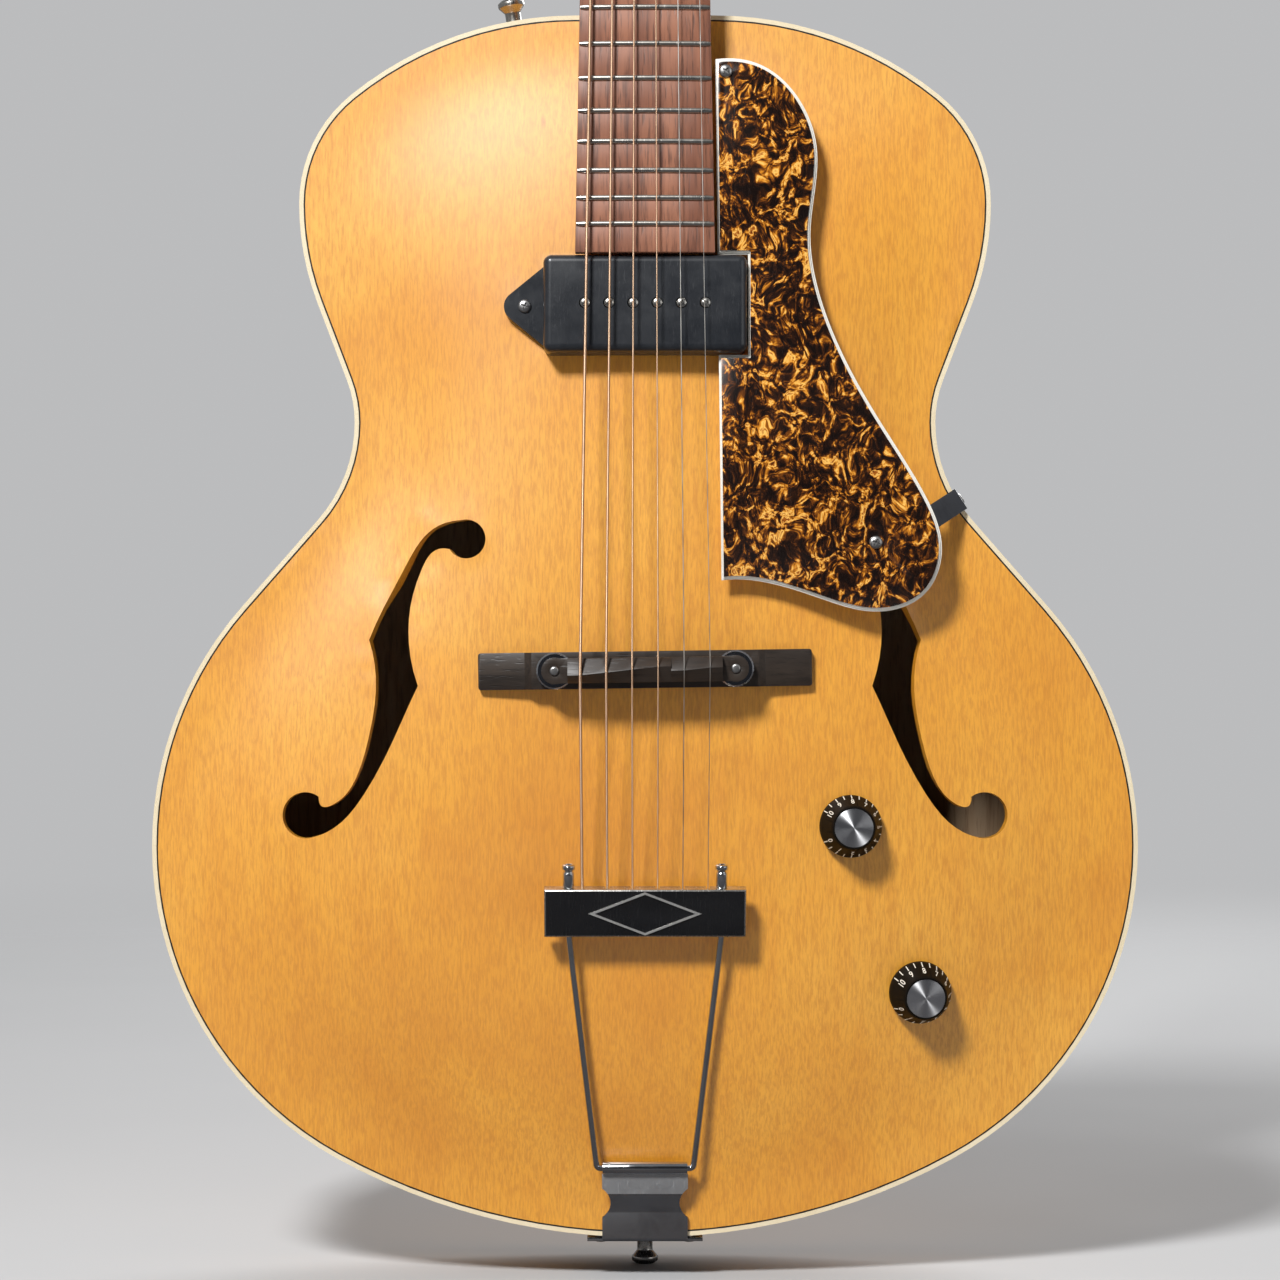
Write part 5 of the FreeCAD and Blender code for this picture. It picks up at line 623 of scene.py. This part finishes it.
def carved_plate(node, front, spacing=0.0035, sweeps=14):
    """A plate seen from its outside; front is -1 where that faces the front and 1 where it faces the back."""
    shape = joined(node)
    shape.normal_update()
    skin = [face for face in shape.faces if face.normal.y * front > LEAST_FACING]
    inside = set(skin)
    border = {}
    for face in skin:
        for loop in face.loops:
            if not any(other in inside for other in loop.edge.link_faces if other is not face):
                border[loop.vert] = loop.link_loop_next.vert
    index = {vert: k for k, vert in enumerate(border)}
    points = [Vector((vert.co.x, vert.co.z)) for vert in border]
    rise = [vert.co.y for vert in border]
    edges = [(index[a], index[b]) for a, b in border.items() if b in index]
    shape.verts.index_update()
    corners = [vert.co.copy() for vert in shape.verts]
    net = BVHTree.FromPolygons(corners, [[vert.index for vert in face.verts] for face in skin])
    near = kdtree.KDTree(len(points) * EDGE_STEPS)
    for a, b in edges:
        for step in range(EDGE_STEPS):
            near.insert((*points[a].lerp(points[b], step / EDGE_STEPS), 0.0), 0)
    near.balance()
    low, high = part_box(node)
    way, far = Vector((0, -front, 0)), Vector((0, front, 0))

    def depth(x, z):
        return net.ray_cast(Vector((x, 0, z)) + far, way)[0]

    fixed = len(points)
    for row in range(int((high.z - low.z) / spacing) + 1):
        for column in range(int((high.x - low.x) / spacing) + 1):
            x = low.x + (column + (row % 2) / 2) * spacing
            z = low.z + row * spacing
            hit = depth(x, z)
            if hit is not None and near.find((x, z, 0.0))[2] > spacing * EDGE_ROOM:
                points.append(Vector((x, z)))
                rise.append(hit.y)
    flat, _, faces, origin, _, _ = geometry.delaunay_2d_cdt(points, edges, [], 0, NET_GAP)
    rise = np.array([rise[source[0]] if source else 0.0 for source in origin])
    held = np.array([not source or source[0] < fixed for source in origin])
    kept = []
    for face in faces:
        middle = sum((flat[k] for k in face), Vector((0, 0))) / 3
        if depth(middle.x, middle.y) is not None:
            kept.append(face if front < 0 else face[::-1])
    links = np.array([(face[k], face[k - 1]) for face in kept for k in range(3)])
    links = np.concatenate([links, links[:, ::-1]])
    count = np.maximum(np.bincount(links[:, 0], minlength=len(rise)), 1)
    for _ in range(sweeps):
        mean = np.bincount(links[:, 0], weights=rise[links[:, 1]], minlength=len(rise)) / count
        rise = np.where(held, rise, mean)
    mesh = bpy.data.meshes.new(f"{node}_net")
    mesh.from_pydata([(point.x, height, point.y) for point, height in zip(flat, rise)], [], kept)
    shape.free()
    plate = linked(f"{node}_net", mesh)
    wall = plate.modifiers.new("wall", "SOLIDIFY")
    wall.thickness = PLATE
    wall.offset = -1
    wall.material_offset = 1
    # The plate's inner side takes the inside wood, which is partly painted light
    for finish in (finishes[slot_of[node]], finishes["inner_wood"]):
        mesh.materials.append(finish)
    made_mesh = realised(plate)
    smooth(made_mesh, 40)
    return shown(f"{node}_shown", made_mesh, None, body_of(node), node)


carved_plate("top_plate", -1)
carved_plate("back_plate", 1)


# Woodwork and edging that keep the solids' shapes

SMALL_EDGE, GUARD_EDGE, KNOB_EDGE, TUNERS = 0.0002, 0.00025, 0.0004, 6
for node in ("rim_bass", "rim_treble", "neck"):
    dressed(node)
for node in ("binding_front", "binding_back", "purfling_front"):
    dressed(node, degrees=40)
for node, edge in (
        ("fretboard", 0.0004), ("nut", 0.0003), ("truss_rod_cover", 0.0003), ("bridge_base", 0.0006),
        ("bridge_saddle", 0.0004), ("pickup_cover", 0.0), ("pickguard_ply", 0.0002), ("bridge_posts", 0.0002),
        ("thumbwheel_bass", 0.0), ("thumbwheel_treble", 0.0), ("tailpiece_rod", 0.0),
        ("tailpiece_nuts", 0.0003), ("tuner_housings", 0.0), ("strap_buttons", 0.0003),
        ("output_jack", 0.0002)):
    dressed(node, round_edge=edge)
for word in KNOBS:
    dressed(f"knob_{word}", finish=knob_plastic, round_edge=KNOB_EDGE)
for number in range(1, TUNERS + 1):
    dressed(f"tuner_post_{number}", round_edge=SMALL_EDGE)
    dressed(f"tuner_key_{number}")
dressed("pickguard_supports", finish=bracket_painted_dark_reflection, round_edge=SMALL_EDGE)

# The guard's face reaches nearly over the edge layer on the side of the fretboard
GUARD_REACH = 0.0005
guard = dressed("pickguard_face", round_edge=GUARD_EDGE).data
beside_board = {corner for face in guard.polygons if face.normal.x < -0.3 for corner in face.vertices}
for corner in beside_board:
    guard.vertices[corner].co.x -= GUARD_REACH

# The hinge plate is brushed above its fold and polished below it; the brushed band's colour is also painted
# lighter, a painted sheen for light that the band doesn't catch
BRUSHED_LIT_LOW, BRUSHED_LIT_HIGH = 0.0205, 0.0295
hinge = dressed("tailpiece_hinge_plate", round_edge=SMALL_EDGE).data
hinge.materials.append(brushed_chrome_painted_lighter)
for face in hinge.polygons:
    brushed_lit_band = face.normal.y < -0.95 and BRUSHED_LIT_LOW < face.center.z < BRUSHED_LIT_HIGH
    face.material_index = 1 if brushed_lit_band else 0

# Pieces closed inside the body keep their solids
for node in ("end_blocks", "linings", "tone_bars", "truss_rod", "pickup_bobbin", "pickup_coil",
             "pickup_baseplate", "pickup_magnets", "potentiometers", "volume_shaft", "tone_shaft"):
    solids[node].data.materials.clear()
    solids[node].data.materials.append(finishes[slot_of[node]])


# Rows of the same piece: one tree sets a pattern on points, turned to each point's own direction

def row_tree():
    tree = bpy.data.node_groups.new("row_of_pieces", "GeometryNodeTree")
    for title, kind in (
            ("Points", "NodeSocketGeometry"), ("Pattern", "NodeSocketObject"), ("Seed", "NodeSocketInt"),
            ("Roll", NUMBER), ("Crown Radius", NUMBER), ("Finish", "NodeSocketMaterial")):
        tree.interface.new_socket(title, in_out="INPUT", socket_type=kind)
    tree.interface.new_socket("Row", in_out="OUTPUT", socket_type="NodeSocketGeometry")
    made = Nodes(tree)
    given = made.add("NodeGroupInput").outputs

    def named(title):
        node = made.add("GeometryNodeInputNamedAttribute", {"Name": title}, data_type="FLOAT_VECTOR")
        return node.outputs["Attribute"]

    chance = made.add("FunctionNodeRandomValue", {2: -1.0, 3: 1.0, "Seed": given["Seed"]}, data_type="FLOAT")
    roll = made.sum("MULTIPLY", chance.outputs[1], given["Roll"])
    facing = made.add("FunctionNodeAlignRotationToVector", {"Vector": named("way")}, axis="Z").outputs[0]
    spin = made.add("FunctionNodeAxisAngleToRotation", {"Axis": (0, 0, 1), "Angle": roll}).outputs[0]
    facing = made.add("FunctionNodeAlignRotationToVector", {"Rotation": facing, "Vector": named("rise")},
                      axis="Y", pivot_axis="Z").outputs[0]
    turn = made.add("FunctionNodeRotateRotation", {0: facing, 1: spin}, rotation_space="LOCAL").outputs[0]
    pattern = made.add("GeometryNodeObjectInfo", {"Object": given["Pattern"]}).outputs["Geometry"]
    row = made.add("GeometryNodeInstanceOnPoints", {
        "Points": given["Points"], "Instance": pattern, "Rotation": turn,
        "Scale": named("spread")}).outputs[0]
    row = made.add("GeometryNodeRealizeInstances", {0: row}).outputs[0]
    parts = made.add("ShaderNodeSeparateXYZ", {0: made.add("GeometryNodeInputPosition").outputs[0]}).outputs
    squared = made.sum("MULTIPLY", parts[0], parts[0])
    fall = made.sum("DIVIDE", squared, made.sum("MULTIPLY", given["Crown Radius"], -2.0))
    fall_way = made.add("ShaderNodeCombineXYZ", {2: fall}).outputs[0]
    row = made.add("GeometryNodeSetPosition", {"Geometry": row, "Offset": fall_way}).outputs[0]
    row = made.add("GeometryNodeSetMaterial", {"Geometry": row, "Material": given["Finish"]}).outputs[0]
    made.add("NodeGroupOutput", {0: row})
    return tree


ROW = row_tree()
FLAT = 1e6


def row_of(name, pattern, points, ways, finish, rises=None, spreads=None, roll=0.0, crown=FLAT, seed=3):
    """The mesh of a pattern repeated on points; crown is the radius of the curve that it is bent over."""
    carrier_mesh = bpy.data.meshes.new(f"{name}_points")
    carrier_mesh.from_pydata([tuple(point) for point in points], [], [])
    count = len(points)
    for title, values in (("way", ways), ("rise", rises or [(0, 1, 0)] * count),
                          ("spread", spreads or [(1, 1, 1)] * count)):
        layer = carrier_mesh.attributes.new(title, "FLOAT_VECTOR", "POINT")
        layer.data.foreach_set("vector", [value for entry in values for value in entry])
    carrier = linked(f"{name}_points", carrier_mesh)
    source = linked(f"{name}_pattern", pattern)
    modifier = carrier.modifiers.new("row", "NODES")
    modifier.node_group = ROW
    values = {"Pattern": source, "Seed": seed, "Roll": roll, "Crown Radius": crown, "Finish": finish}
    for socket in ROW.interface.items_tree:
        if socket.in_out == "INPUT" and socket.name in values:
            modifier[socket.identifier] = values[socket.name]
    mesh = realised(carrier)
    bpy.data.objects.remove(source)
    return mesh


def bar(name, size, middle=(0, 0, 0)):
    """A small block."""
    shape = bmesh.new()
    bmesh.ops.create_cube(shape, size=1.0, matrix=Matrix.Translation(middle) @ Matrix.Diagonal((*size, 1.0)))
    return meshed(name, shape)


def cut(mesh, *cutters):
    """A mesh less other meshes."""
    piece = linked("cut_piece", mesh)
    tools = []
    for k, cutter in enumerate(cutters):
        tool = linked(f"cutter_{k}", cutter)
        step = piece.modifiers.new(f"cut_{k}", "BOOLEAN")
        step.object = tool
        step.operation = "DIFFERENCE"
        step.solver = "EXACT"
        tools.append(tool)
    made_mesh = realised(piece)
    for tool in tools:
        bpy.data.objects.remove(tool)
    return made_mesh


def screw_pattern(name, head, rise, shank, length, slots, slot_width, slot_depth):
    """A domed screw whose head sits on z = 0, with one slot or a cross."""
    dome_shares = ((1, 0), (1, 0.35), (0.93, 0.62), (0.74, 0.86), (0.4, 0.97))
    profile = [(0, -length), (shank * 0.4, -length), (shank, -length + shank), (shank, 0)]
    profile += [(head * out, rise * up) for out, up in dome_shares] + [(0, rise)]
    reach = head * (2.4 if slots == 1 else 1.15)
    sides = ((reach, slot_width), (slot_width, reach))
    mesh = meshed(name, lathe(profile, 28))
    tools = [bar(f"{name}_slot_{k}", sides[k] + (2 * slot_depth,), (0, 0, rise)) for k in range(slots)]
    mesh = cut(mesh, *tools)
    smooth(mesh, 35)
    return mesh


END_DEPTH = 0.0006


def axis_of(points):
    """The top, the outward way and the length of a long turned solid, whose head is its wider end."""
    middle = points.mean(0)
    way = np.linalg.svd(points - middle, full_matrices=False)[2][0]
    along = (points - middle) @ way
    off = np.linalg.norm((points - middle) - np.outer(along, way), axis=1)
    end = (along.max() - along.min()) / 4
    if off[along > along.max() - end].max() < off[along < along.min() + end].max():
        way, along = -way, -along
    ends = points[along > along.max() - END_DEPTH]
    return Vector(ends.mean(0)), Vector(way), float(along.max() - along.min())


def screws(node, head, rise, shank, slots, slot_width, slot_depth, finish):
    """A node's screws, each on its solid's own axis."""
    found = [axis_of(points) for points in islands(node)]
    length = min(entry[2] for entry in found) - rise
    pattern = screw_pattern(f"{node}_pattern", head, rise, shank, length, slots, slot_width, slot_depth)
    seats = [top - way * rise for top, way, _ in found]
    mesh = row_of(node, pattern, seats, [way for _, way, _ in found], finish, roll=math.pi / 2)
    smooth(mesh, 35)
    return shown(f"{node}_shown", mesh, None, body_of(node), node)


screws("mounting_screws", head=0.0029, rise=0.0017, shank=0.0013, slots=2, slot_width=0.0007,
       slot_depth=0.0009, finish=finishes["steel"])
screws("pickup_pole_screws", head=0.0023, rise=0.0016, shank=0.0012, slots=1, slot_width=0.0006,
       slot_depth=0.0007, finish=finishes[slot_of["pickup_pole_screws"]])


def fret_row():
    """The frets: half-round crowns, each as wide as the board is there and bent over the board's radius."""
    found = []
    to_neck = NECK.inverted()
    for points in islands("frets"):
        local = np.array([(to_neck @ Vector(point))[:] for point in points])
        found.append((local[:, 1].mean(), np.abs(local[:, 0]).max(), local[:, 2].max()))
    found.sort()
    crown_radius, half, rise = 0.406, 0.0012, 0.0011
    steps, arc_steps, end_ease = 26, 8, 0.72
    arc = [math.pi * k / arc_steps for k in range(arc_steps + 1)]
    profile = [(math.cos(turn) * half, math.sin(turn) * rise) for turn in arc]
    shape = bmesh.new()
    rings = []
    for k in range(steps + 1):
        across = -1 + 2 * k / steps
        ease = end_ease if k in (0, steps) else 1.0
        rings.append([shape.verts.new((across, y * ease, z * ease)) for y, z in profile])
    for low, high in zip(rings, rings[1:]):
        for k in range(len(profile)):
            shape.faces.new((low[k], low[k - 1], high[k - 1], high[k]))
    shape.faces.new(rings[0])
    shape.faces.new(rings[-1])
    bmesh.ops.recalc_face_normals(shape, faces=shape.faces)
    pattern = meshed("fret_pattern", shape)
    seats = [(0, along, top - rise) for along, _, top in found]
    mesh = row_of("frets", pattern, seats, [(0, 0, 1)] * len(found), finishes["fret_wire"],
                  spreads=[(width, 1, 1) for _, width, _ in found], crown=crown_radius)
    mesh.transform(NECK)
    smooth(mesh, 45)
    return shown("frets_shown", mesh, None, body_of("frets"), "frets")


fret_row()


# Dials: ticks and numerals on the knobs' sloping sides, and the spun caps

# Radius and height at the foot and at the top of a knob's side
SIDE_LOW, SIDE_HIGH = (0.0134, 0.0038), (0.00908, 0.0167)
SIDE_LEAN = math.atan2(SIDE_LOW[0] - SIDE_HIGH[0], SIDE_HIGH[1] - SIDE_LOW[1])
FIRST_MARK, MARK_STEP, MARKS = math.radians(-60), math.radians(15), 21
TICK, TICK_LEVEL = (0.00042, 0.0040, 0.00016), 0.0059
NUMERAL, NUMERAL_LEVEL, NUMERALS = 0.0030, 0.0111, 11
# The numerals are read from the knob's middle and drawn out along the slope
NUMERAL_TURN = Matrix.Diagonal((-1.0, -2.2, 1.0, 1.0))


def knob_point(turn, height):
    """A place on the sloping side of a knob, seen from the front, with its turn from straight up."""
    share = (height - SIDE_LOW[1]) / (SIDE_HIGH[1] - SIDE_LOW[1])
    radius = SIDE_LOW[0] + (SIDE_HIGH[0] - SIDE_LOW[0]) * share
    return Vector((radius * math.sin(turn), radius * math.cos(turn), height))


def side_place(turn, height):
    """A flat place on a knob's side: its y runs up the slope and its z out of it."""
    out = Vector((math.sin(turn), math.cos(turn), 0))
    straight = Vector((0, 0, 1))
    upward = straight * math.cos(SIDE_LEAN) - out * math.sin(SIDE_LEAN)
    outward = out * math.cos(SIDE_LEAN) + straight * math.sin(SIDE_LEAN)
    return placed_on(knob_point(turn, height), upward, outward)


def dial_marks(word):
    """A tick for each half number round the knob, and the numerals 10 to 0, with a gap on the bass side."""
    places = [side_place(FIRST_MARK + MARK_STEP * k, TICK_LEVEL) for k in range(MARKS)]
    spots = [place.translation for place in places]
    ticks = row_of(f"{word}_ticks", bar("tick", TICK), spots, [place.col[2][:3] for place in places],
                   dial_white, rises=[place.col[1][:3] for place in places])
    numerals = []
    for number in range(NUMERALS):
        curve = bpy.data.curves.new(f"numeral_{number}", "FONT")
        curve.body = str(number)
        curve.size = NUMERAL
        curve.extrude = 0.00005
        curve.offset = 0.00004
        curve.align_x = "CENTER"
        curve.align_y = "CENTER"
        numeral = realised(linked(f"numeral_{number}", curve))
        turn = FIRST_MARK + MARK_STEP * 2 * (NUMERALS - 1 - number)
        numeral.transform(side_place(turn, NUMERAL_LEVEL) @ NUMERAL_TURN)
        numerals.append(numeral)
    mesh = together(f"{word}_dial", [ticks] + numerals)
    mesh.transform(KNOBS[word])
    return shown(f"{word}_dial", mesh, dial_white, f"{word}_control", slot=slot_of[f"knob_{word}"])


def spun_cap(word):
    """A slightly domed metal cap with a map that runs round its middle, so its sheen follows the lathe."""
    node = f"knob_{word}_cap"
    outer, low, edge, top = 0.00825, 0.0159, 0.0006, 0.0171
    dome_shares = (0.985, 0.8, 0.6, 0.4, 0.2, 0.05)
    profile = [(0.0, low), (outer, low), (outer, low + edge)]
    profile += [(outer * share, low + edge + (top - low - edge) * (1 - share ** 2)) for share in dome_shares]
    profile.append((0.0, top))
    shape = lathe(profile, 64)
    layer = shape.loops.layers.uv.new("spun")
    for face in shape.faces:
        middle = face.calc_center_median()
        base = math.atan2(middle.y, middle.x)
        for loop in face.loops:
            x, y, _ = loop.vert.co
            turn = math.atan2(y, x) if (x or y) else base
            turn = base + (turn - base + math.pi) % TURN - math.pi
            loop[layer].uv = (turn / TURN + 0.5, math.hypot(x, y) / outer)
    mesh = meshed(f"{node}_shown", shape)
    mesh.transform(KNOBS[word])
    smooth(mesh, 30)
    return shown(f"{node}_shown", mesh, finishes["spun_aluminium"], body_of(node), node)


for word in KNOBS:
    dial_marks(word)
    spun_cap(word)


# The string bar: a near-black front, which is a painted dark reflection, bright edges and flanges, and a
# diamond line painted lighter as a painted sheen

LINE_LIFT, BAR_EDGE, FRONT_FACING = 0.00004, 0.00035, 0.97


def string_bar():
    shape = joined("tailpiece_bar")
    to_tail = TAIL.inverted()
    facing = TAIL.col[2].to_3d()
    top = max((to_tail @ vert.co).z for vert in shape.verts)
    ridge = [face for face in shape.faces if max((to_tail @ vert.co).z for vert in face.verts) > top - JOIN]
    line = bmesh.new()
    for face in ridge:
        line.faces.new([line.verts.new(vert.co) for vert in face.verts])
    bmesh.ops.remove_doubles(line, verts=line.verts, dist=JOIN)
    bmesh.ops.bridge_loops(line, edges=[edge for edge in line.edges if edge.is_boundary])
    bmesh.ops.recalc_face_normals(line, faces=line.faces)
    bmesh.ops.translate(line, verts=line.verts, vec=facing * LINE_LIFT)
    mesh = meshed("bar_diamond", line)
    smooth(mesh, 20)
    shape.free()
    # The raised diamond, lifted just over the bar, carries the painted sheen
    shown("bar_diamond", mesh, diamond_painted_sheen, body_of("tailpiece_bar"), "tailpiece_bar")
    piece = dressed("tailpiece_bar", finish=bar_painted_dark_reflection, round_edge=BAR_EDGE)
    piece.data.materials.append(finishes["nickel"])
    # Faces turned to the front take the painted dark reflection; the others are nickel
    for face in piece.data.polygons:
        face.material_index = 0 if face.normal.dot(facing) > FRONT_FACING else 1


string_bar()


# Strings: from the ball in the bar over saddle and nut, and round the post

# Each string's ball, its places on the saddle and the nut, and its radius
STRINGS = [
    ((-0.02675, -0.06508, 0.14914), (-0.02747, -0.07815, 0.24387), (-0.01835, -0.03828, 0.88168), 0.000660),
    ((-0.01605, -0.06508, 0.14914), (-0.01649, -0.07867, 0.24509), (-0.01101, -0.03842, 0.88169), 0.000533),
    ((-0.00535, -0.06508, 0.14914), (-0.00550, -0.07890, 0.24634), (-0.00367, -0.03842, 0.88169), 0.000406),
    ((0.00535, -0.06508, 0.14914), (0.00548, -0.07882, 0.24760), (0.00367, -0.03832, 0.88168), 0.000305),
    ((0.01605, -0.06508, 0.14914), (0.01650, -0.07862, 0.24597), (0.01101, -0.03809, 0.88167), 0.000203),
    ((0.02675, -0.06508, 0.14914), (0.02749, -0.07795, 0.24719), (0.01835, -0.03777, 0.88165), 0.000152),
]
POSTS = [(-0.02216, -0.01876, 0.92207), (-0.02427, -0.0069, 0.96236), (-0.02639, 0.00496, 1.00265),
         (0.02639, 0.00496, 1.00265), (0.02427, -0.0069, 0.96236), (0.02216, -0.01876, 0.92207)]
POST_WAIST, POST_GAP, POST_LOW, TURN_GAP, TURNS, TURN_STEPS = 0.0025, 0.0004, 0.0041, 0.0005, 2, 24
BALL, SPLIT_HEIGHT, BAR_REACH, BASS_STRINGS = 0.0019, 0.224, 0.014, 3
NECK_STEPS, BRIDGE_STEPS, TAIL_STEPS = 24, 8, 18


def steps_between(first, last, count):
    return [first.lerp(last, step / count) for step in range(count + 1)]


def winding(number):
    """The turns of a string on its post, from where it comes straight off the nut."""
    nut, radius = Vector(STRINGS[number][2]), STRINGS[number][3]
    post = Matrix.Translation(POSTS[number]) @ HEAD.to_3x3().to_4x4()
    spin = 1 if number < BASS_STRINGS else -1
    coil = POST_WAIST + POST_GAP + radius
    climb = (2 * radius + TURN_GAP) / TURN
    nut_seen = post.inverted() @ nut
    reach = math.hypot(nut_seen.x, nut_seen.y)
    start = math.atan2(-nut_seen.y, -nut_seen.x) - spin * math.asin(coil / reach) - spin * math.pi / 2
    turns = [TURN * step / TURN_STEPS for step in range(TURN_STEPS * TURNS + 1)]
    return [post @ Vector((coil * math.cos(start + spin * turn), coil * math.sin(start + spin * turn),
                           POST_LOW + radius + climb * turn)) for turn in turns]


def string_runs(number):
    """One string in three: saddle to post, split to saddle, and ball to split."""
    tail, saddle, nut = (Vector(spot) for spot in STRINGS[number][:3])
    split = saddle.lerp(tail, (saddle.z - SPLIT_HEIGHT) / (saddle.z - tail.z))
    to_post = steps_between(saddle, nut, NECK_STEPS) + winding(number)
    return to_post, steps_between(split, saddle, BRIDGE_STEPS), steps_between(tail, split, TAIL_STEPS)


def string_set(name, numbers):
    """A group of strings, bent where the saddle lifts them and where the tailpiece swings their ends."""
    runs = {number: string_runs(number) for number in numbers}
    middle = numbers[len(numbers) // 2]
    saddle, split, tail = (run[0] for run in runs[middle])
    nut = Vector(STRINGS[middle][2])
    in_bar = tail + (split - tail).normalized() * BAR_REACH
    for k, (part, first, last, start, end) in enumerate((
            ("neck", "guitar", "saddle", nut, saddle), ("bridge", "guitar", "saddle", split, saddle),
            ("tail", "guitar", "tailpiece", split, in_bar))):
        meshes = [tube(f"{name}_{number}_{part}", runs[number][k], STRINGS[number][3]) for number in numbers]
        if part == "tail":
            for number in numbers:
                shape = bmesh.new()
                bmesh.ops.create_uvsphere(shape, u_segments=20, v_segments=12, radius=BALL,
                                          matrix=Matrix.Translation(runs[number][2][0]))
                ball = meshed("ball_end", shape)
                smooth(ball, 60)
                meshes.append(ball)
        piece = linked(f"{name}_{part}", together(f"{name}_{part}", meshes))
        piece.data.materials.append(finishes[slot_of[name]])
        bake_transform(piece, first, last, start=start[:], end=end[:])
        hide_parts(name)


string_set("strings_wound", (0, 1, 2, 3))
string_set("strings_plain", (4, 5))


# Leads inside the body: each one's length and the places that it passes

LEAD_RADIUS = 0.0012
LEADS = {
    "pickup_lead": (0.2447, [
        (0.0309, -0.04886, 0.39287), (0.0309, -0.03238, 0.39189), (0.04208, -0.02055, 0.35079),
        (0.05327, -0.01242, 0.30969), (0.06445, -0.01028, 0.26859), (0.07563, -0.01414, 0.2275),
        (0.08682, -0.0217, 0.1864), (0.08764, -0.03818, 0.18629)]),
    "tone_lead": (0.0979, [
        (0.08692, -0.03812, 0.17191), (0.0861, -0.02164, 0.17202), (0.10075, -0.00282, 0.14489),
        (0.11541, -0.01701, 0.11776), (0.11725, -0.03332, 0.11609)]),
    "jack_lead": (0.0803, [
        (0.11548, -0.03207, 0.10186), (0.11364, -0.01575, 0.10352), (0.13225, 0.00862, 0.10074),
        (0.15086, 0.0, 0.09796), (0.16387, 0.0, 0.0878)]),
}
for name, (length, route) in LEADS.items():
    curve = bpy.data.curves.new(name, "CURVE")
    curve.dimensions = "3D"
    curve.bevel_depth = LEAD_RADIUS
    curve.bevel_resolution = 3
    curve.resolution_u = 8
    curve.use_fill_caps = True
    line = curve.splines.new("NURBS")
    line.points.add(len(route) - 1)
    for point, place in zip(line.points, route):
        point.co = (*place, 1.0)
    line.order_u = 3
    line.use_endpoint_u = True
    curve.materials.append(finishes["lead_cover"])
    lead = linked(name, curve)
    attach(lead, "guitar")
    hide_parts("leads")


# Floor: pale to the camera and darker in reflections

FLOOR_REACH, FLOOR_GAP = 40, 0.0002
floor_mesh = bpy.data.meshes.new("floor")
floor_low = cad_box[0].z - FLOOR_GAP
floor_signs = ((-1, -1), (1, -1), (1, 1), (-1, 1))
floor_corners = [(FLOOR_REACH * x, FLOOR_REACH * y, floor_low) for x, y in floor_signs]
floor_mesh.from_pydata(floor_corners, [], [(0, 1, 2, 3)])
floor = linked("floor", floor_mesh)
paper = Finish("floor_paper", specular_ior_level=0.2)
paper_cloud = paper.noise(paper.spot, 3.0, 4.0)
paper_fade = paper.span(paper.vector("LENGTH", paper.spot, (0, 0, 0)), 0.6, 2.8, 1.0, 0.0)
paper.tree.links.new(paper_fade, paper.shader.inputs["Alpha"])
paper_tone = paper.mix(paper_cloud, rgb(0.52, 0.522, 0.528), rgb(0.56, 0.562, 0.568))
mirrored_ray = paper.add("ShaderNodeLightPath").outputs["Is Glossy Ray"]
paper_tone = paper.mix(mirrored_ray, paper_tone, rgb(0.07, 0.07, 0.075))
floor_mesh.materials.append(paper.done(paper_tone, paper.span(paper_cloud, 0.2, 0.8, 0.75, 0.9),
                                       paper.noise(paper.spot, 900.0, 2.0), 0.0001, 0.2))
